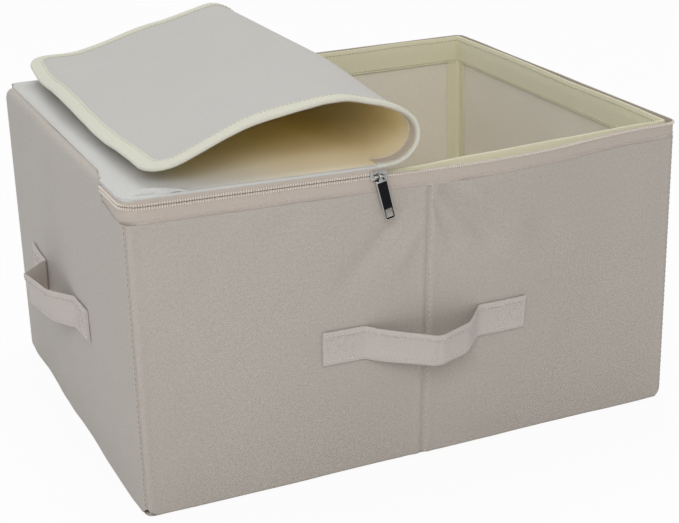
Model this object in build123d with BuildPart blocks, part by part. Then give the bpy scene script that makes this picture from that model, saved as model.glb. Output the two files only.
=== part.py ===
from build123d import *
import os
from math import atan2, cos, pi, radians, sin

# Zip-top fabric storage box with a fold-back lid.
# Millimetres, +X along the long front, +Y to the back, +Z up, origin at the centre of the base's underside.
# The walls are stiff boards between an outer cloth and a lining. Each long wall is two boards that meet
# at a sewn centre crease, and the front one stands bowed out at the top. The lid is sewn to the left
# wall, zipped for its first part and folded back over itself for the rest.

os.makedirs("parts", exist_ok=True)

# ---- overall sizes
LENGTH = 500.0  # along the front
DEPTH = 395.0  # front to back
WALL_TOP = 252.0  # top edge of the outer cloth on the front, right and back
BOW = 18.0  # how far the front crease stands out at the wall's top

# ---- cloth, board and clearances
CLOTH = 1.0
BOARD = 3.0
LINING = 0.8
SLIP = 0.1  # between layers that lie on each other
CREASE_GAP = 2.0  # between the two boards of a long wall
BASE_CLEARANCE = 1.0  # round the loose base board

# ---- zip
TAPE = 0.8  # thickness of the woven tape
TAPE_VISIBLE = 10.3  # from the wall's top to the teeth
COIL_HEIGHT = 2.8  # one half of the teeth, across the zip
COIL_OUT = 0.6  # how far the teeth stand out of the tape
COIL_IN = 0.8  # and how far in
COIL_GAP = 0.8
LID_TAPE = 2.4  # from the teeth to the lid's seam
CORNER_R = 12.0  # of the zip and lid in plan
ZIP_STUB = 60.0  # the zip runs this far round each left corner

# ---- lid
FOLD_X = -36.0  # where the lid starts to turn back
FOLD_R = 27.0  # inside radius of the turn
FOLD_TURN = 192.0  # how far the lid turns, in degrees
FOLD_HINGES = 4  # the turn opens at this many lines
FOLD_GAP = 0.4  # between neighbours in the turn, in degrees
FLAP_R = 30.0  # its corners
BINDING = 0.8
BINDING_WIDTH = 12.0

# ---- rim, base and corner tapes
RIM_ABOVE = 14.0  # how far the rim stands above the wall
RIM_BAND = 14.0  # how far the rim's tape reaches down the lining
CORNER_TAPE = 14.0

# ---- handles
HANDLE_Z = 121.0
STRAP_WIDTH = 30.0
STRAP = 2.0
STRAP_SPAN = 187.0  # end to end
STRAP_PAD = 40.0  # sewn flat at each end
STRAP_OUT = 24.0  # how far the middle stands off the wall
STRAP_DROOP = 9.5
GRIP_SHARE = 0.5  # share of the free part that swings
STRAP_CUT = 0.4

# ---- slider and pull
SLIDER_X = -44.5
SLIDER_LENGTH = 15.0
SLIDER_WIDTH = 9.6
SLIDER_PLATE = 1.2
SLIDER_CLEARANCE = 0.4
SLIDER_POST = 0.5
BAIL_LENGTH = 10.0
BAIL_WIDTH = 1.6
BAIL_BAR = 1.4
BAIL_ROOM = 2.4
PULL_LENGTH = 39.0
PULL_WIDTH = 9.5
PULL = 1.6
PULL_TILT = 12.0
PULL_WINDOW = (5.6, 6.6)
PULL_RING_IN = 1.5
PULL_RING_OUT = 2.5

# ---- worked out from the above
HALF = LENGTH / 2
FRONT = -DEPTH / 2
BACK = DEPTH / 2
BOARD_INSET = CLOTH + SLIP
LINING_INSET = BOARD_INSET + BOARD + SLIP
WALL = LINING_INSET + LINING
RIM_TOP = WALL_TOP + RIM_ABOVE
RIM_INSET = WALL - 0.6
COIL_LOW = WALL_TOP + TAPE_VISIBLE
ZIP_Z = COIL_LOW + COIL_HEIGHT + COIL_GAP / 2
COIL_HIGH = ZIP_Z + COIL_GAP / 2
BINDING_Z = COIL_HIGH + COIL_HEIGHT + LID_TAPE
LID_Z = BINDING_Z + BINDING  # underside of the lid's lining
LID = LINING + CLOTH
FOLD_OUT = FOLD_R + LID  # outside radius of the turn
FOLD_PIVOT = FOLD_OUT + BINDING + SLIP
FOLD_Z = LID_Z + LID + FOLD_R
FOLD_STEP = FOLD_TURN / FOLD_HINGES
# flat, the lid just reaches the far edge
FLAP = HALF - FOLD_X - 2 * FOLD_HINGES * FOLD_PIVOT * sin(radians(FOLD_STEP / 2))
FOLD_BOW = BOW * (1 + FOLD_X / HALF)
LID_FRONT = FRONT - FOLD_BOW
LID_WIDTH = BACK - LID_FRONT
SLIDER_ANGLE = atan2(BOW, HALF)
FREE_HALF = STRAP_SPAN / 2 - STRAP_PAD
STRAP_LOW = HANDLE_Z - STRAP_WIDTH / 2
STRAP_HIGH = HANDLE_Z + STRAP_WIDTH / 2


def front_y(x, z):
    """Outer face of the front wall, which leans out to the crease and stands upright above the wall."""
    return FRONT - BOW * min(z, WALL_TOP) / WALL_TOP * (1 - abs(x) / HALF)


def front_section(x0, x1, inset, thick, z):
    """A level cut of one layer of the front wall, between two uprights on one side of the crease."""
    with BuildSketch(Plane.XY.offset(z)) as section:
        with BuildLine():
            Polyline(
                (x0, front_y(x0, z) + inset),
                (x1, front_y(x1, z) + inset),
                (x1, front_y(x1, z) + inset + thick),
                (x0, front_y(x0, z) + inset + thick),
                close=True,
            )
        make_face()
    return section.sketch


def front_layer(x0, x1, inset, thick, z0, z1):
    """One layer of the front wall as part of the open build."""
    ends = [front_section(x0, x1, inset, thick, z) for z in (z0, z1)]
    loft(ends, ruled=True)


def block(x0, x1, y0, y1, z0, z1, mode=Mode.ADD):
    """A straight block between two corners, as part of the open build."""
    with BuildSketch(Plane.XY.offset(z0)) as plan:
        with Locations(((x0 + x1) / 2, (y0 + y1) / 2)):
            Rectangle(x1 - x0, y1 - y0)
    extrude(plan.sketch, amount=z1 - z0, mode=mode)


def rim_outline(inset):
    """The zip's and lid's outline in plan, bowed at the front crease, drawn in the open sketch."""
    with BuildSketch(Plane.XY) as outline:
        with BuildLine():
            Polyline((-HALF, FRONT), (0, FRONT - BOW), (HALF, FRONT), (HALF, BACK), (-HALF, BACK), close=True)
        make_face()
        corners = [v for v in outline.vertices() if abs(v.X) > HALF - 1]
        fillet(corners, CORNER_R)
        offset(amount=-inset, mode=Mode.REPLACE)
    return outline.sketch


def rim_ring(inset, thick, z0, z1):
    """A thin upright ring on the zip's line, as part of the open build."""
    with BuildSketch(Plane.XY.offset(z0)) as ring:
        add(rim_outline(inset))
        add(rim_outline(inset + thick), mode=Mode.SUBTRACT)
    extrude(ring.sketch, amount=z1 - z0)


def fold_point(radius, angle):
    """X and Z of a point in the lid's turn. Angle 0 is its start, under the centre."""
    a = radians(angle)
    return FOLD_X + radius * sin(a), FOLD_Z - radius * cos(a)


def fold_slab(r0, r1, a0, a1, y0, y1):
    """A curved slab of the lid's turn, as part of the open build."""
    with BuildSketch(Plane.XZ.offset(-y0)) as slab:
        with BuildLine():
            CenterArc((FOLD_X, FOLD_Z), r0, a0 - 90, a1 - a0)
            CenterArc((FOLD_X, FOLD_Z), r1, a0 - 90, a1 - a0)
            Line(fold_point(r0, a0), fold_point(r1, a0))
            Line(fold_point(r0, a1), fold_point(r1, a1))
        make_face()
    extrude(slab.sketch, amount=-(y1 - y0))


def fold_edges(r0, r1, a0, a1, inset, width):
    """A pair of curved slabs along the front and back edges of the lid's turn."""
    fold_slab(r0, r1, a0, a1, LID_FRONT + inset, LID_FRONT + inset + width)
    fold_slab(r0, r1, a0, a1, BACK - inset - width, BACK - inset)


# ---------------------------------------------------------------- base
with BuildPart() as bottom_cloth:
    block(-HALF, HALF, FRONT, BACK, 0, CLOTH)
bottom_cloth.part.label = "bottom_cloth"
export_step(bottom_cloth.part, "parts/bottom_cloth.step")

base_x = HALF - WALL - BASE_CLEARANCE
base_y = BACK - WALL - BASE_CLEARANCE
base_top = CLOTH + BOARD + LINING + SLIP
with BuildPart() as base_board:
    block(
        -base_x + LINING + SLIP,
        base_x - LINING - SLIP,
        -base_y + LINING + SLIP,
        base_y - LINING - SLIP,
        CLOTH,
        CLOTH + BOARD,
    )
base_board.part.label = "base_board"
export_step(base_board.part, "parts/base_board.step")

with BuildPart() as base_board_cover:
    block(-base_x, base_x, -base_y, base_y, CLOTH, base_top)
    block(
        -base_x + LINING,
        base_x - LINING,
        -base_y + LINING,
        base_y - LINING,
        CLOTH,
        base_top - LINING,
        mode=Mode.SUBTRACT,
    )
base_board_cover.part.label = "base_board_cover"
export_step(base_board_cover.part, "parts/base_board_cover.step")

# ---------------------------------------------------------------- walls: outer cloth
with BuildPart() as front_cloth:
    front_layer(-HALF, 0, 0, CLOTH, CLOTH, WALL_TOP)
    front_layer(0, HALF, 0, CLOTH, CLOTH, WALL_TOP)
front_cloth.part.label = "front_cloth"
export_step(front_cloth.part, "parts/front_cloth.step")

with BuildPart() as back_cloth:
    block(-HALF, HALF, BACK - CLOTH, BACK, CLOTH, WALL_TOP)
back_cloth.part.label = "back_cloth"
export_step(back_cloth.part, "parts/back_cloth.step")

with BuildPart() as right_cloth:
    block(HALF - CLOTH, HALF, FRONT + CLOTH, BACK - CLOTH, CLOTH, WALL_TOP)
right_cloth.part.label = "right_cloth"
export_step(right_cloth.part, "parts/right_cloth.step")

with BuildPart() as left_cloth:
    block(-HALF, -HALF + CLOTH, FRONT + CLOTH, BACK - CLOTH, CLOTH, WALL_TOP)
    stub_y = BACK - ZIP_STUB
    block(-HALF, -HALF + CLOTH, -stub_y, stub_y, WALL_TOP, BINDING_Z)
left_cloth.part.label = "left_cloth"
export_step(left_cloth.part, "parts/left_cloth.step")

# ---------------------------------------------------------------- walls: boards
board_low = CLOTH + SLIP
board_high = WALL_TOP - CLOTH
side_end = BACK - BOARD_INSET - BOARD - SLIP
for name, x0, x1 in (
    ("left", -HALF + BOARD_INSET, -CREASE_GAP / 2),
    ("right", CREASE_GAP / 2, HALF - BOARD_INSET),
):
    with BuildPart() as front_board:
        front_layer(x0, x1, BOARD_INSET, BOARD, board_low, board_high)
    front_board.part.label = f"front_board_{name}"
    export_step(front_board.part, f"parts/front_board_{name}.step")
    with BuildPart() as back_board:
        block(x0, x1, BACK - BOARD_INSET - BOARD, BACK - BOARD_INSET, board_low, board_high)
    back_board.part.label = f"back_board_{name}"
    export_step(back_board.part, f"parts/back_board_{name}.step")

for name, x0 in (("left", -HALF + BOARD_INSET), ("right", HALF - BOARD_INSET - BOARD)):
    with BuildPart() as side_board:
        block(x0, x0 + BOARD, -side_end, side_end, board_low, board_high)
    side_board.part.label = f"{name}_board"
    export_step(side_board.part, f"parts/{name}_board.step")

# ---------------------------------------------------------------- walls: lining
inner_x = HALF - LINING_INSET
lining_high = board_high + SLIP
with BuildPart() as front_lining:
    front_layer(-inner_x, 0, LINING_INSET, LINING, board_low, lining_high)
    front_layer(0, inner_x, LINING_INSET, LINING, board_low, lining_high)
front_lining.part.label = "front_lining"
export_step(front_lining.part, "parts/front_lining.step")

with BuildPart() as back_lining:
    block(-inner_x, inner_x, BACK - WALL, BACK - LINING_INSET, board_low, lining_high)
back_lining.part.label = "back_lining"
export_step(back_lining.part, "parts/back_lining.step")

side_y = BACK - WALL - SLIP
for name, x0 in (("left", -inner_x), ("right", inner_x - LINING)):
    with BuildPart() as side_lining:
        block(x0, x0 + LINING, -side_y, side_y, board_low, lining_high)
    side_lining.part.label = f"{name}_lining"
    export_step(side_lining.part, f"parts/{name}_lining.step")

# ---------------------------------------------------------------- rim tape and corner tapes
rim_low = lining_high + SLIP
band_low = rim_low - RIM_BAND
band_in = WALL + SLIP
rim_thick = band_in + LINING - RIM_INSET
rim_x = HALF - band_in - LINING - SLIP
with BuildPart() as rim_binding:
    for x0, x1 in ((-rim_x, -SLIP), (SLIP, rim_x)):
        front_layer(x0, x1, RIM_INSET, rim_thick, rim_low, RIM_TOP)
        front_layer(x0, x1, band_in, LINING, band_low, rim_low)
    block(-rim_x, rim_x, BACK - RIM_INSET - rim_thick, BACK - RIM_INSET, rim_low, RIM_TOP)
    block(-rim_x, rim_x, BACK - band_in - LINING, BACK - band_in, band_low, rim_low)
    rim_y = BACK - RIM_INSET - rim_thick - SLIP
    for side in (-1, 1):
        outer, inner = side * (HALF - RIM_INSET), side * (HALF - RIM_INSET - rim_thick)
        block(min(outer, inner), max(outer, inner), -rim_y, rim_y, rim_low, RIM_TOP)
        outer, inner = side * (HALF - band_in), side * (HALF - band_in - LINING)
        block(min(outer, inner), max(outer, inner), -rim_y, rim_y, band_low, rim_low)
rim_binding.part.label = "rim_binding"
export_step(rim_binding.part, "parts/rim_binding.step")

tape_low = base_top + SLIP
tape_high = band_low - SLIP
with BuildPart() as corner_tapes:
    for side in (-1, 1):
        x = side * (HALF - WALL - SLIP)
        across = (min(x, x - side * CORNER_TAPE), max(x, x - side * CORNER_TAPE))
        along = (min(x, x - side * LINING), max(x, x - side * LINING))
        block(*across, BACK - WALL - SLIP - LINING, BACK - WALL - SLIP, tape_low, tape_high)
        block(*along, BACK - WALL - SLIP - CORNER_TAPE, BACK - WALL - SLIP, tape_low, tape_high)
        front_layer(*across, WALL + SLIP, LINING, tape_low, tape_high)
        front_layer(*along, WALL + SLIP, CORNER_TAPE, tape_low, tape_high)
corner_tapes.part.label = "corner_tapes"
export_step(corner_tapes.part, "parts/corner_tapes.step")

# ---------------------------------------------------------------- zip, half on the box
open_side = BACK - ZIP_STUB
with BuildPart() as box_zip_tape:
    rim_ring(0, TAPE, WALL_TOP + SLIP / 2, COIL_LOW)
    block(-HALF - 1, -HALF + CORNER_R, -open_side, open_side, WALL_TOP, COIL_LOW, mode=Mode.SUBTRACT)
box_zip_tape.part.label = "box_zip_tape"
export_step(box_zip_tape.part, "parts/box_zip_tape.step")

with BuildPart() as box_zip_teeth:
    rim_ring(-COIL_OUT, COIL_OUT + TAPE + COIL_IN, COIL_LOW, COIL_LOW + COIL_HEIGHT)
    block(-HALF - 2, -HALF + CORNER_R, -open_side, open_side, COIL_LOW, ZIP_Z, mode=Mode.SUBTRACT)
box_zip_teeth.part.label = "box_zip_teeth"
export_step(box_zip_teeth.part, "parts/box_zip_teeth.step")

# ---------------------------------------------------------------- zip, closed half on the lid
zip_end = SLIDER_X - SLIDER_LENGTH / 4
far = HALF + CORNER_R + BOW
with BuildPart() as lid_zip_tape:
    rim_ring(0, TAPE, COIL_HIGH + COIL_HEIGHT, BINDING_Z)
    block(-HALF - 1, -HALF + CORNER_R, -open_side, open_side, COIL_HIGH, BINDING_Z, mode=Mode.SUBTRACT)
    block(zip_end, far, -far, far, COIL_HIGH, BINDING_Z, mode=Mode.SUBTRACT)
lid_zip_tape.part.label = "lid_zip_tape"
export_step(lid_zip_tape.part, "parts/lid_zip_tape.step")

with BuildPart() as lid_zip_teeth:
    rim_ring(-COIL_OUT, COIL_OUT + TAPE + COIL_IN, COIL_HIGH, COIL_HIGH + COIL_HEIGHT)
    block(-HALF - 2, -HALF + CORNER_R, -open_side, open_side, COIL_HIGH, BINDING_Z, mode=Mode.SUBTRACT)
    block(zip_end, far, -far, far, COIL_HIGH, BINDING_Z, mode=Mode.SUBTRACT)
lid_zip_teeth.part.label = "lid_zip_teeth"
export_step(lid_zip_teeth.part, "parts/lid_zip_teeth.step")

# ---------------------------------------------------------------- lid, zipped part
first = FOLD_STEP / 2 - FOLD_GAP / 2  # the zipped part also holds the start of the turn


def lid_sheet(z, thick):
    """The flat zipped part of one lid layer, as part of the open build."""
    with BuildSketch(Plane.XY.offset(z)) as sheet:
        add(rim_outline(0))
        with Locations((FOLD_X + far, 0)):
            Rectangle(2 * far, 2 * far, mode=Mode.SUBTRACT)
    extrude(sheet.sketch, amount=thick)


with BuildPart() as lid_cloth:
    lid_sheet(LID_Z + LINING, CLOTH)
    fold_slab(FOLD_R, FOLD_R + CLOTH, 0, first, LID_FRONT, BACK)
lid_cloth.part.label = "lid_cloth"
export_step(lid_cloth.part, "parts/lid_cloth.step")

with BuildPart() as lid_lining:
    lid_sheet(LID_Z, LINING)
    fold_slab(FOLD_R + CLOTH, FOLD_OUT, 0, first, LID_FRONT, BACK)
lid_lining.part.label = "lid_lining"
export_step(lid_lining.part, "parts/lid_lining.step")

with BuildPart() as lid_binding:
    with BuildSketch(Plane.XY.offset(BINDING_Z)):
        add(rim_outline(0))
        add(rim_outline(BINDING_WIDTH), mode=Mode.SUBTRACT)
        with Locations((FOLD_X + far, 0)):
            Rectangle(2 * far, 2 * far, mode=Mode.SUBTRACT)
    extrude(amount=BINDING)
    fold_edges(FOLD_OUT, FOLD_OUT + BINDING, 0, first, 0, BINDING_WIDTH)
lid_binding.part.label = "lid_binding"
export_step(lid_binding.part, "parts/lid_binding.step")

# ---------------------------------------------------------------- lid, the turn
tape_r = FOLD_R - TAPE - SLIP
teeth_r = tape_r - COIL_HEIGHT / 2
for number in range(1, FOLD_HINGES):
    a0 = FOLD_STEP * (number - 0.5) + FOLD_GAP / 2
    a1 = FOLD_STEP * (number + 0.5) - FOLD_GAP / 2
    with BuildPart() as bend_cloth:
        fold_slab(FOLD_R, FOLD_OUT, a0, a1, LID_FRONT, BACK)
    bend_cloth.part.label = f"bend_cloth_{number}"
    export_step(bend_cloth.part, f"parts/bend_cloth_{number}.step")
    with BuildPart() as bend_binding:
        fold_edges(FOLD_OUT, FOLD_OUT + BINDING, a0, a1, 0, BINDING_WIDTH)
    bend_binding.part.label = f"bend_binding_{number}"
    export_step(bend_binding.part, f"parts/bend_binding_{number}.step")
    with BuildPart() as bend_zip:
        fold_edges(tape_r, tape_r + TAPE, a0, a1, CLOTH, BINDING_WIDTH)
        fold_edges(teeth_r, tape_r, a0, a1, BINDING_WIDTH - COIL_HEIGHT + CLOTH, COIL_HEIGHT)
    bend_zip.part.label = f"bend_zip_{number}"
    export_step(bend_zip.part, f"parts/bend_zip_{number}.step")

# ---------------------------------------------------------------- lid, free flap
last = FOLD_STEP * (FOLD_HINGES - 0.5) + FOLD_GAP / 2
turn = radians(FOLD_TURN)
flap_x, flap_z = fold_point(FOLD_R, FOLD_TURN)
flap_plane = Plane(origin=(flap_x, 0, flap_z), x_dir=(cos(turn), 0, sin(turn)), z_dir=(sin(turn), 0, -cos(turn)))


def flap_outline(inset, start=0.0):
    """The flap seen square on. Local +Y is the front, and the far corners are round."""
    with BuildSketch(Plane.XY) as outline:
        with BuildLine():
            Polyline((0, -BACK), (FLAP, -BACK), (FLAP, -FRONT), (0, -FRONT + FOLD_BOW), close=True)
        make_face()
        fillet(outline.vertices().group_by(Axis.X)[-1], FLAP_R)
        if inset:
            offset(amount=-inset, mode=Mode.REPLACE)
            with BuildLine():
                Polyline(
                    (start, -BACK + inset),
                    (FLAP / 2, -BACK + inset),
                    (FLAP / 2, -FRONT + FOLD_BOW / 2 - inset),
                    (start, -FRONT + FOLD_BOW - inset),
                    close=True,
                )
            make_face()
    return outline.sketch


def flap_band(inset, width, low, thick):
    """A band along the flap's three free edges, as part of the open build."""
    with BuildSketch(flap_plane.offset(low)) as band:
        add(flap_outline(inset))
        add(flap_outline(inset + width), mode=Mode.SUBTRACT)
    extrude(band.sketch, amount=thick)


with BuildPart() as flap_cloth:
    with BuildSketch(flap_plane):
        add(flap_outline(0))
    extrude(amount=CLOTH)
    fold_slab(FOLD_R, FOLD_R + CLOTH, last, FOLD_TURN, LID_FRONT, BACK)
flap_cloth.part.label = "flap_cloth"
export_step(flap_cloth.part, "parts/flap_cloth.step")

with BuildPart() as flap_lining:
    with BuildSketch(flap_plane.offset(CLOTH)):
        add(flap_outline(0))
    extrude(amount=LINING)
    fold_slab(FOLD_R + CLOTH, FOLD_OUT, last, FOLD_TURN, LID_FRONT, BACK)
flap_lining.part.label = "flap_lining"
export_step(flap_lining.part, "parts/flap_lining.step")

with BuildPart() as flap_binding:
    flap_band(0, BINDING_WIDTH, LID, BINDING)
    fold_edges(FOLD_OUT, FOLD_OUT + BINDING, last, FOLD_TURN, 0, BINDING_WIDTH)
flap_binding.part.label = "flap_binding"
export_step(flap_binding.part, "parts/flap_binding.step")

with BuildPart() as flap_zip_tape:
    flap_band(CLOTH, BINDING_WIDTH, -TAPE - SLIP, TAPE)
    fold_edges(tape_r, tape_r + TAPE, last, FOLD_TURN, CLOTH, BINDING_WIDTH)
flap_zip_tape.part.label = "flap_zip_tape"
export_step(flap_zip_tape.part, "parts/flap_zip_tape.step")

with BuildPart() as flap_zip_teeth:
    teeth_in = BINDING_WIDTH - COIL_HEIGHT + CLOTH
    flap_band(teeth_in, COIL_HEIGHT, -TAPE - SLIP - COIL_HEIGHT / 2, COIL_HEIGHT / 2)
    fold_edges(teeth_r, tape_r, last, FOLD_TURN, teeth_in, COIL_HEIGHT)
flap_zip_teeth.part.label = "flap_zip_teeth"
export_step(flap_zip_teeth.part, "parts/flap_zip_teeth.step")

# ---------------------------------------------------------------- sliders and pulls
slot = TAPE / 2 + SLIDER_CLEARANCE
plate_low = COIL_OUT + TAPE / 2 + SLIDER_CLEARANCE
plate_high = plate_low + SLIDER_PLATE
bar_low = plate_high + BAIL_ROOM
ring_z = bar_low + BAIL_BAR / 2


def slider_plane(at_back):
    """Outward-facing plane on the zip's centre line: local X along the zip, local Y up."""
    if at_back:
        return Plane(origin=(SLIDER_X, BACK - TAPE / 2, ZIP_Z), x_dir=(-1, 0, 0), z_dir=(0, 1, 0))
    y = front_y(SLIDER_X, WALL_TOP) + TAPE / 2
    c, s = cos(SLIDER_ANGLE), sin(SLIDER_ANGLE)
    return Plane(origin=(SLIDER_X, y, ZIP_Z), x_dir=(c, -s, 0), z_dir=(-s, -c, 0))


for name, at_back in (("front", False), ("back", True)):
    plane = slider_plane(at_back)
    mouth = -1 if at_back else 1  # the open end of the zip, along the plane's X
    with BuildPart() as slider:
        for low in (plate_low, -plate_high):
            with BuildSketch(plane.offset(low)):
                RectangleRounded(SLIDER_LENGTH, SLIDER_WIDTH, SLIDER_WIDTH / 3)
            extrude(amount=SLIDER_PLATE)
        for low in (slot, -plate_low):
            with BuildSketch(plane.offset(low)):
                with Locations((0, SLIDER_CLEARANCE - SLIDER_WIDTH / 2)):
                    Rectangle(SLIDER_LENGTH * 0.5, 2 * SLIDER_CLEARANCE)
            extrude(amount=plate_low - slot)
        with BuildSketch(plane.offset(-plate_low)):
            with Locations((mouth * SLIDER_LENGTH / 3, 0)):
                Rectangle(SLIDER_LENGTH / 4, SLIDER_POST)
        extrude(amount=2 * plate_low)
    slider.part.label = f"{name}_slider"
    export_step(slider.part, f"parts/{name}_slider.step")

    with BuildPart() as bail:
        with BuildSketch(Plane(origin=plane.origin, x_dir=plane.x_dir, z_dir=-plane.y_dir)):
            # local X along the zip, local Y outward
            with Locations((0, (plate_high + ring_z + BAIL_BAR / 2) / 2)):
                Rectangle(BAIL_LENGTH, BAIL_ROOM + BAIL_BAR)
            with Locations((0, plate_high + BAIL_ROOM / 2)):
                Rectangle(BAIL_LENGTH - 2 * BAIL_BAR, BAIL_ROOM, mode=Mode.SUBTRACT)
        extrude(amount=BAIL_WIDTH / 2, both=True)
    bail.part.label = f"{name}_slider_bail"
    export_step(bail.part, f"parts/{name}_slider_bail.step")

    with BuildPart() as pull:
        tilt = radians(PULL_TILT)
        hang = Plane(
            origin=plane.origin + plane.z_dir * ring_z,
            x_dir=plane.x_dir * cos(tilt) + plane.y_dir * sin(tilt),
            z_dir=plane.z_dir,
        )
        with BuildSketch(Plane(origin=hang.origin, x_dir=hang.y_dir, z_dir=hang.x_dir)):
            Circle(PULL_RING_OUT)
            Circle(PULL_RING_IN, mode=Mode.SUBTRACT)
        extrude(amount=PULL / 2, both=True)
        with BuildSketch(hang.offset(-PULL / 2)):
            middle = -PULL_RING_IN - 0.5 - PULL_LENGTH / 2
            with Locations((0, middle - 1)):
                RectangleRounded(PULL_WIDTH, PULL_LENGTH - 2, 1.2)
            with Locations((0, -PULL_RING_IN - 0.2)):
                Rectangle(PULL_WIDTH / 3, 3, align=(Align.CENTER, Align.MAX))
            with Locations((0, middle - PULL_LENGTH / 2 + PULL_WINDOW[1])):
                RectangleRounded(*PULL_WINDOW, 1.0, mode=Mode.SUBTRACT)
        extrude(amount=PULL)
    pull.part.label = f"{name}_pull"
    export_step(pull.part, f"parts/{name}_pull.step")


# ---------------------------------------------------------------- handles
def swell(share):
    """How far off the wall the strap is, from 0 at its sewn ends to 1 in the middle."""
    return cos(pi / 2 * share) ** 2


def strap_section(side, along, wall):
    """A cut across a strap: side is its wall's plane, and wall(along, z) is how far out the wall is there."""
    out = swell(min(abs(along) / FREE_HALF, 1.0))
    drop = out * STRAP_DROOP
    section = Plane(origin=side.origin + side.x_dir * along, x_dir=side.z_dir, z_dir=side.x_dir)
    low, high = (wall(along, z) + SLIP + out * STRAP_OUT for z in (STRAP_LOW, STRAP_HIGH))
    up = -1 if section.y_dir.Z < 0 else 1
    half = STRAP_WIDTH / 2
    with BuildSketch(section) as cut:
        with BuildLine():
            Polyline(
                (low, up * (-half - drop)),
                (low + STRAP, up * (-half - drop)),
                (high + STRAP, up * (half - drop)),
                (high, up * (half - drop)),
                close=True,
            )
        make_face()
    return cut.sketch


def strap_run(side, wall, start, end, cuts):
    """A stretch of strap through several sections, as part of the open build."""
    steps = [start + (end - start) * i / cuts for i in range(cuts + 1)]
    loft([strap_section(side, step, wall) for step in steps], ruled=True)


grip_half = FREE_HALF * GRIP_SHARE
end_half = STRAP_SPAN / 2
walls = {
    "front": (
        Plane(origin=(0, FRONT, HANDLE_Z), x_dir=(1, 0, 0), z_dir=(0, -1, 0)),
        lambda along, z: FRONT - front_y(along, z),
    ),
    "left": (
        Plane(origin=(-HALF, 0, HANDLE_Z), x_dir=(0, -1, 0), z_dir=(-1, 0, 0)),
        lambda along, z: 0,
    ),
    "right": (
        Plane(origin=(HALF, 0, HANDLE_Z), x_dir=(0, 1, 0), z_dir=(1, 0, 0)),
        lambda along, z: 0,
    ),
}
for name, (side, wall) in walls.items():
    with BuildPart() as handle_ends:
        for way in (-1, 1):
            strap_run(side, wall, way * end_half, way * FREE_HALF, 1)
            strap_run(side, wall, way * FREE_HALF, way * (grip_half + STRAP_CUT / 2), 5)
    handle_ends.part.label = f"{name}_handle_ends"
    export_step(handle_ends.part, f"parts/{name}_handle_ends.step")
    with BuildPart() as handle_grip:
        for way in (-1, 1):
            strap_run(side, wall, way * (grip_half - STRAP_CUT / 2), 0, 4)
    handle_grip.part.label = f"{name}_handle_grip"
    export_step(handle_grip.part, f"parts/{name}_handle_grip.step")
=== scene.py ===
import math

import bmesh
import bpy
from mathutils import Matrix, Vector, noise


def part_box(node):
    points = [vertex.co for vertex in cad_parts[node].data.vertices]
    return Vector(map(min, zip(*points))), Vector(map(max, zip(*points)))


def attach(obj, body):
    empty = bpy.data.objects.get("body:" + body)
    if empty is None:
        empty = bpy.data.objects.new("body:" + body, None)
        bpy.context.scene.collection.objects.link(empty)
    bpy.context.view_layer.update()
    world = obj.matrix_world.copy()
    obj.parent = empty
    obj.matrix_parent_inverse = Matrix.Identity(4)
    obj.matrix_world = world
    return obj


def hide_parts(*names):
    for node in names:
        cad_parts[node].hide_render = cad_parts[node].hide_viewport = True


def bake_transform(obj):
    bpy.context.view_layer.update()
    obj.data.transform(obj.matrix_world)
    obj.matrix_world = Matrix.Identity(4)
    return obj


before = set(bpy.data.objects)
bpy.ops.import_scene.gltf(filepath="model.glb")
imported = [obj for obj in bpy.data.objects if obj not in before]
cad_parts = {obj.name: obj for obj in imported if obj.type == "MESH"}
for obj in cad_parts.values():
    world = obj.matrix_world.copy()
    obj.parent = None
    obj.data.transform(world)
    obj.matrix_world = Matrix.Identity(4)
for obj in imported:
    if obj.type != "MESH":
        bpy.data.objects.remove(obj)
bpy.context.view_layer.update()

# Fabric storage box with a zipped lid folded back over itself.
# Sizes are in millimetres until a mesh is made.
mm = 0.001

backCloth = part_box("back_cloth")
box = dict(
    half=backCloth[1].x / mm + 0.6,  # half the length
    back=backCloth[1].y / mm + 0.6,  # half the depth
    top=backCloth[1].z / mm,  # top of the outer cloth
    corner=7.0,  # upright corners
    foot=3.5,  # roll at the bottom edge
    cloth=1.0,
)


def soften(t):
    t = min(max(t, 0.0), 1.0)
    return t * t * (3 - 2 * t)


def mix(a, b, t):
    return a + (b - a) * t


def through(points, x):
    # smooth curve through given points
    if x <= points[0][0]:
        return points[0][1]
    if x >= points[-1][0]:
        return points[-1][1]
    i = max(k for k in range(len(points) - 1) if points[k][0] <= x)
    (x0, y0), (x1, y1) = points[i], points[i + 1]
    before, after = points[max(i - 1, 0)], points[min(i + 2, len(points) - 1)]
    width = x1 - x0
    m0 = (y1 - before[1]) / (x1 - before[0]) * width
    m1 = (after[1] - y0) / (after[0] - x0) * width
    t = (x - x0) / width
    return (
        y0 * (1 + 2 * t) * (1 - t) ** 2
        + m0 * t * (1 - t) ** 2
        + y1 * t * t * (3 - 2 * t)
        + m1 * t * t * (t - 1)
    )


def ripple(x, y, z, size, height):
    # smooth uneven waves, the same each run
    return height * noise.noise(Vector((x / size, y / size, z / size)))


def fold(x, z, x0, z0, x1, z1, width, height):
    # soft ridge along a line that fades at both ends
    dx, dz = x1 - x0, z1 - z0
    length = math.hypot(dx, dz)
    t = ((x - x0) * dx + (z - z0) * dz) / length**2
    aside = ((x - x0) * dz - (z - z0) * dx) / length
    spread = width * (0.6 + 0.8 * min(max(t, 0), 1))
    return height * math.exp(-((aside / spread) ** 2)) * soften(t * 4 + 0.4) * soften((1.15 - t) * 2.5)


def tone(red, green, blue):
    # display colour, 0 to 255, as the shader wants it
    out = []
    for c in (red, green, blue):
        c /= 255
        out.append(c / 12.92 if c <= 0.04045 else ((c + 0.055) / 1.055) ** 2.4)
    return (*out, 1.0)


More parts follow.
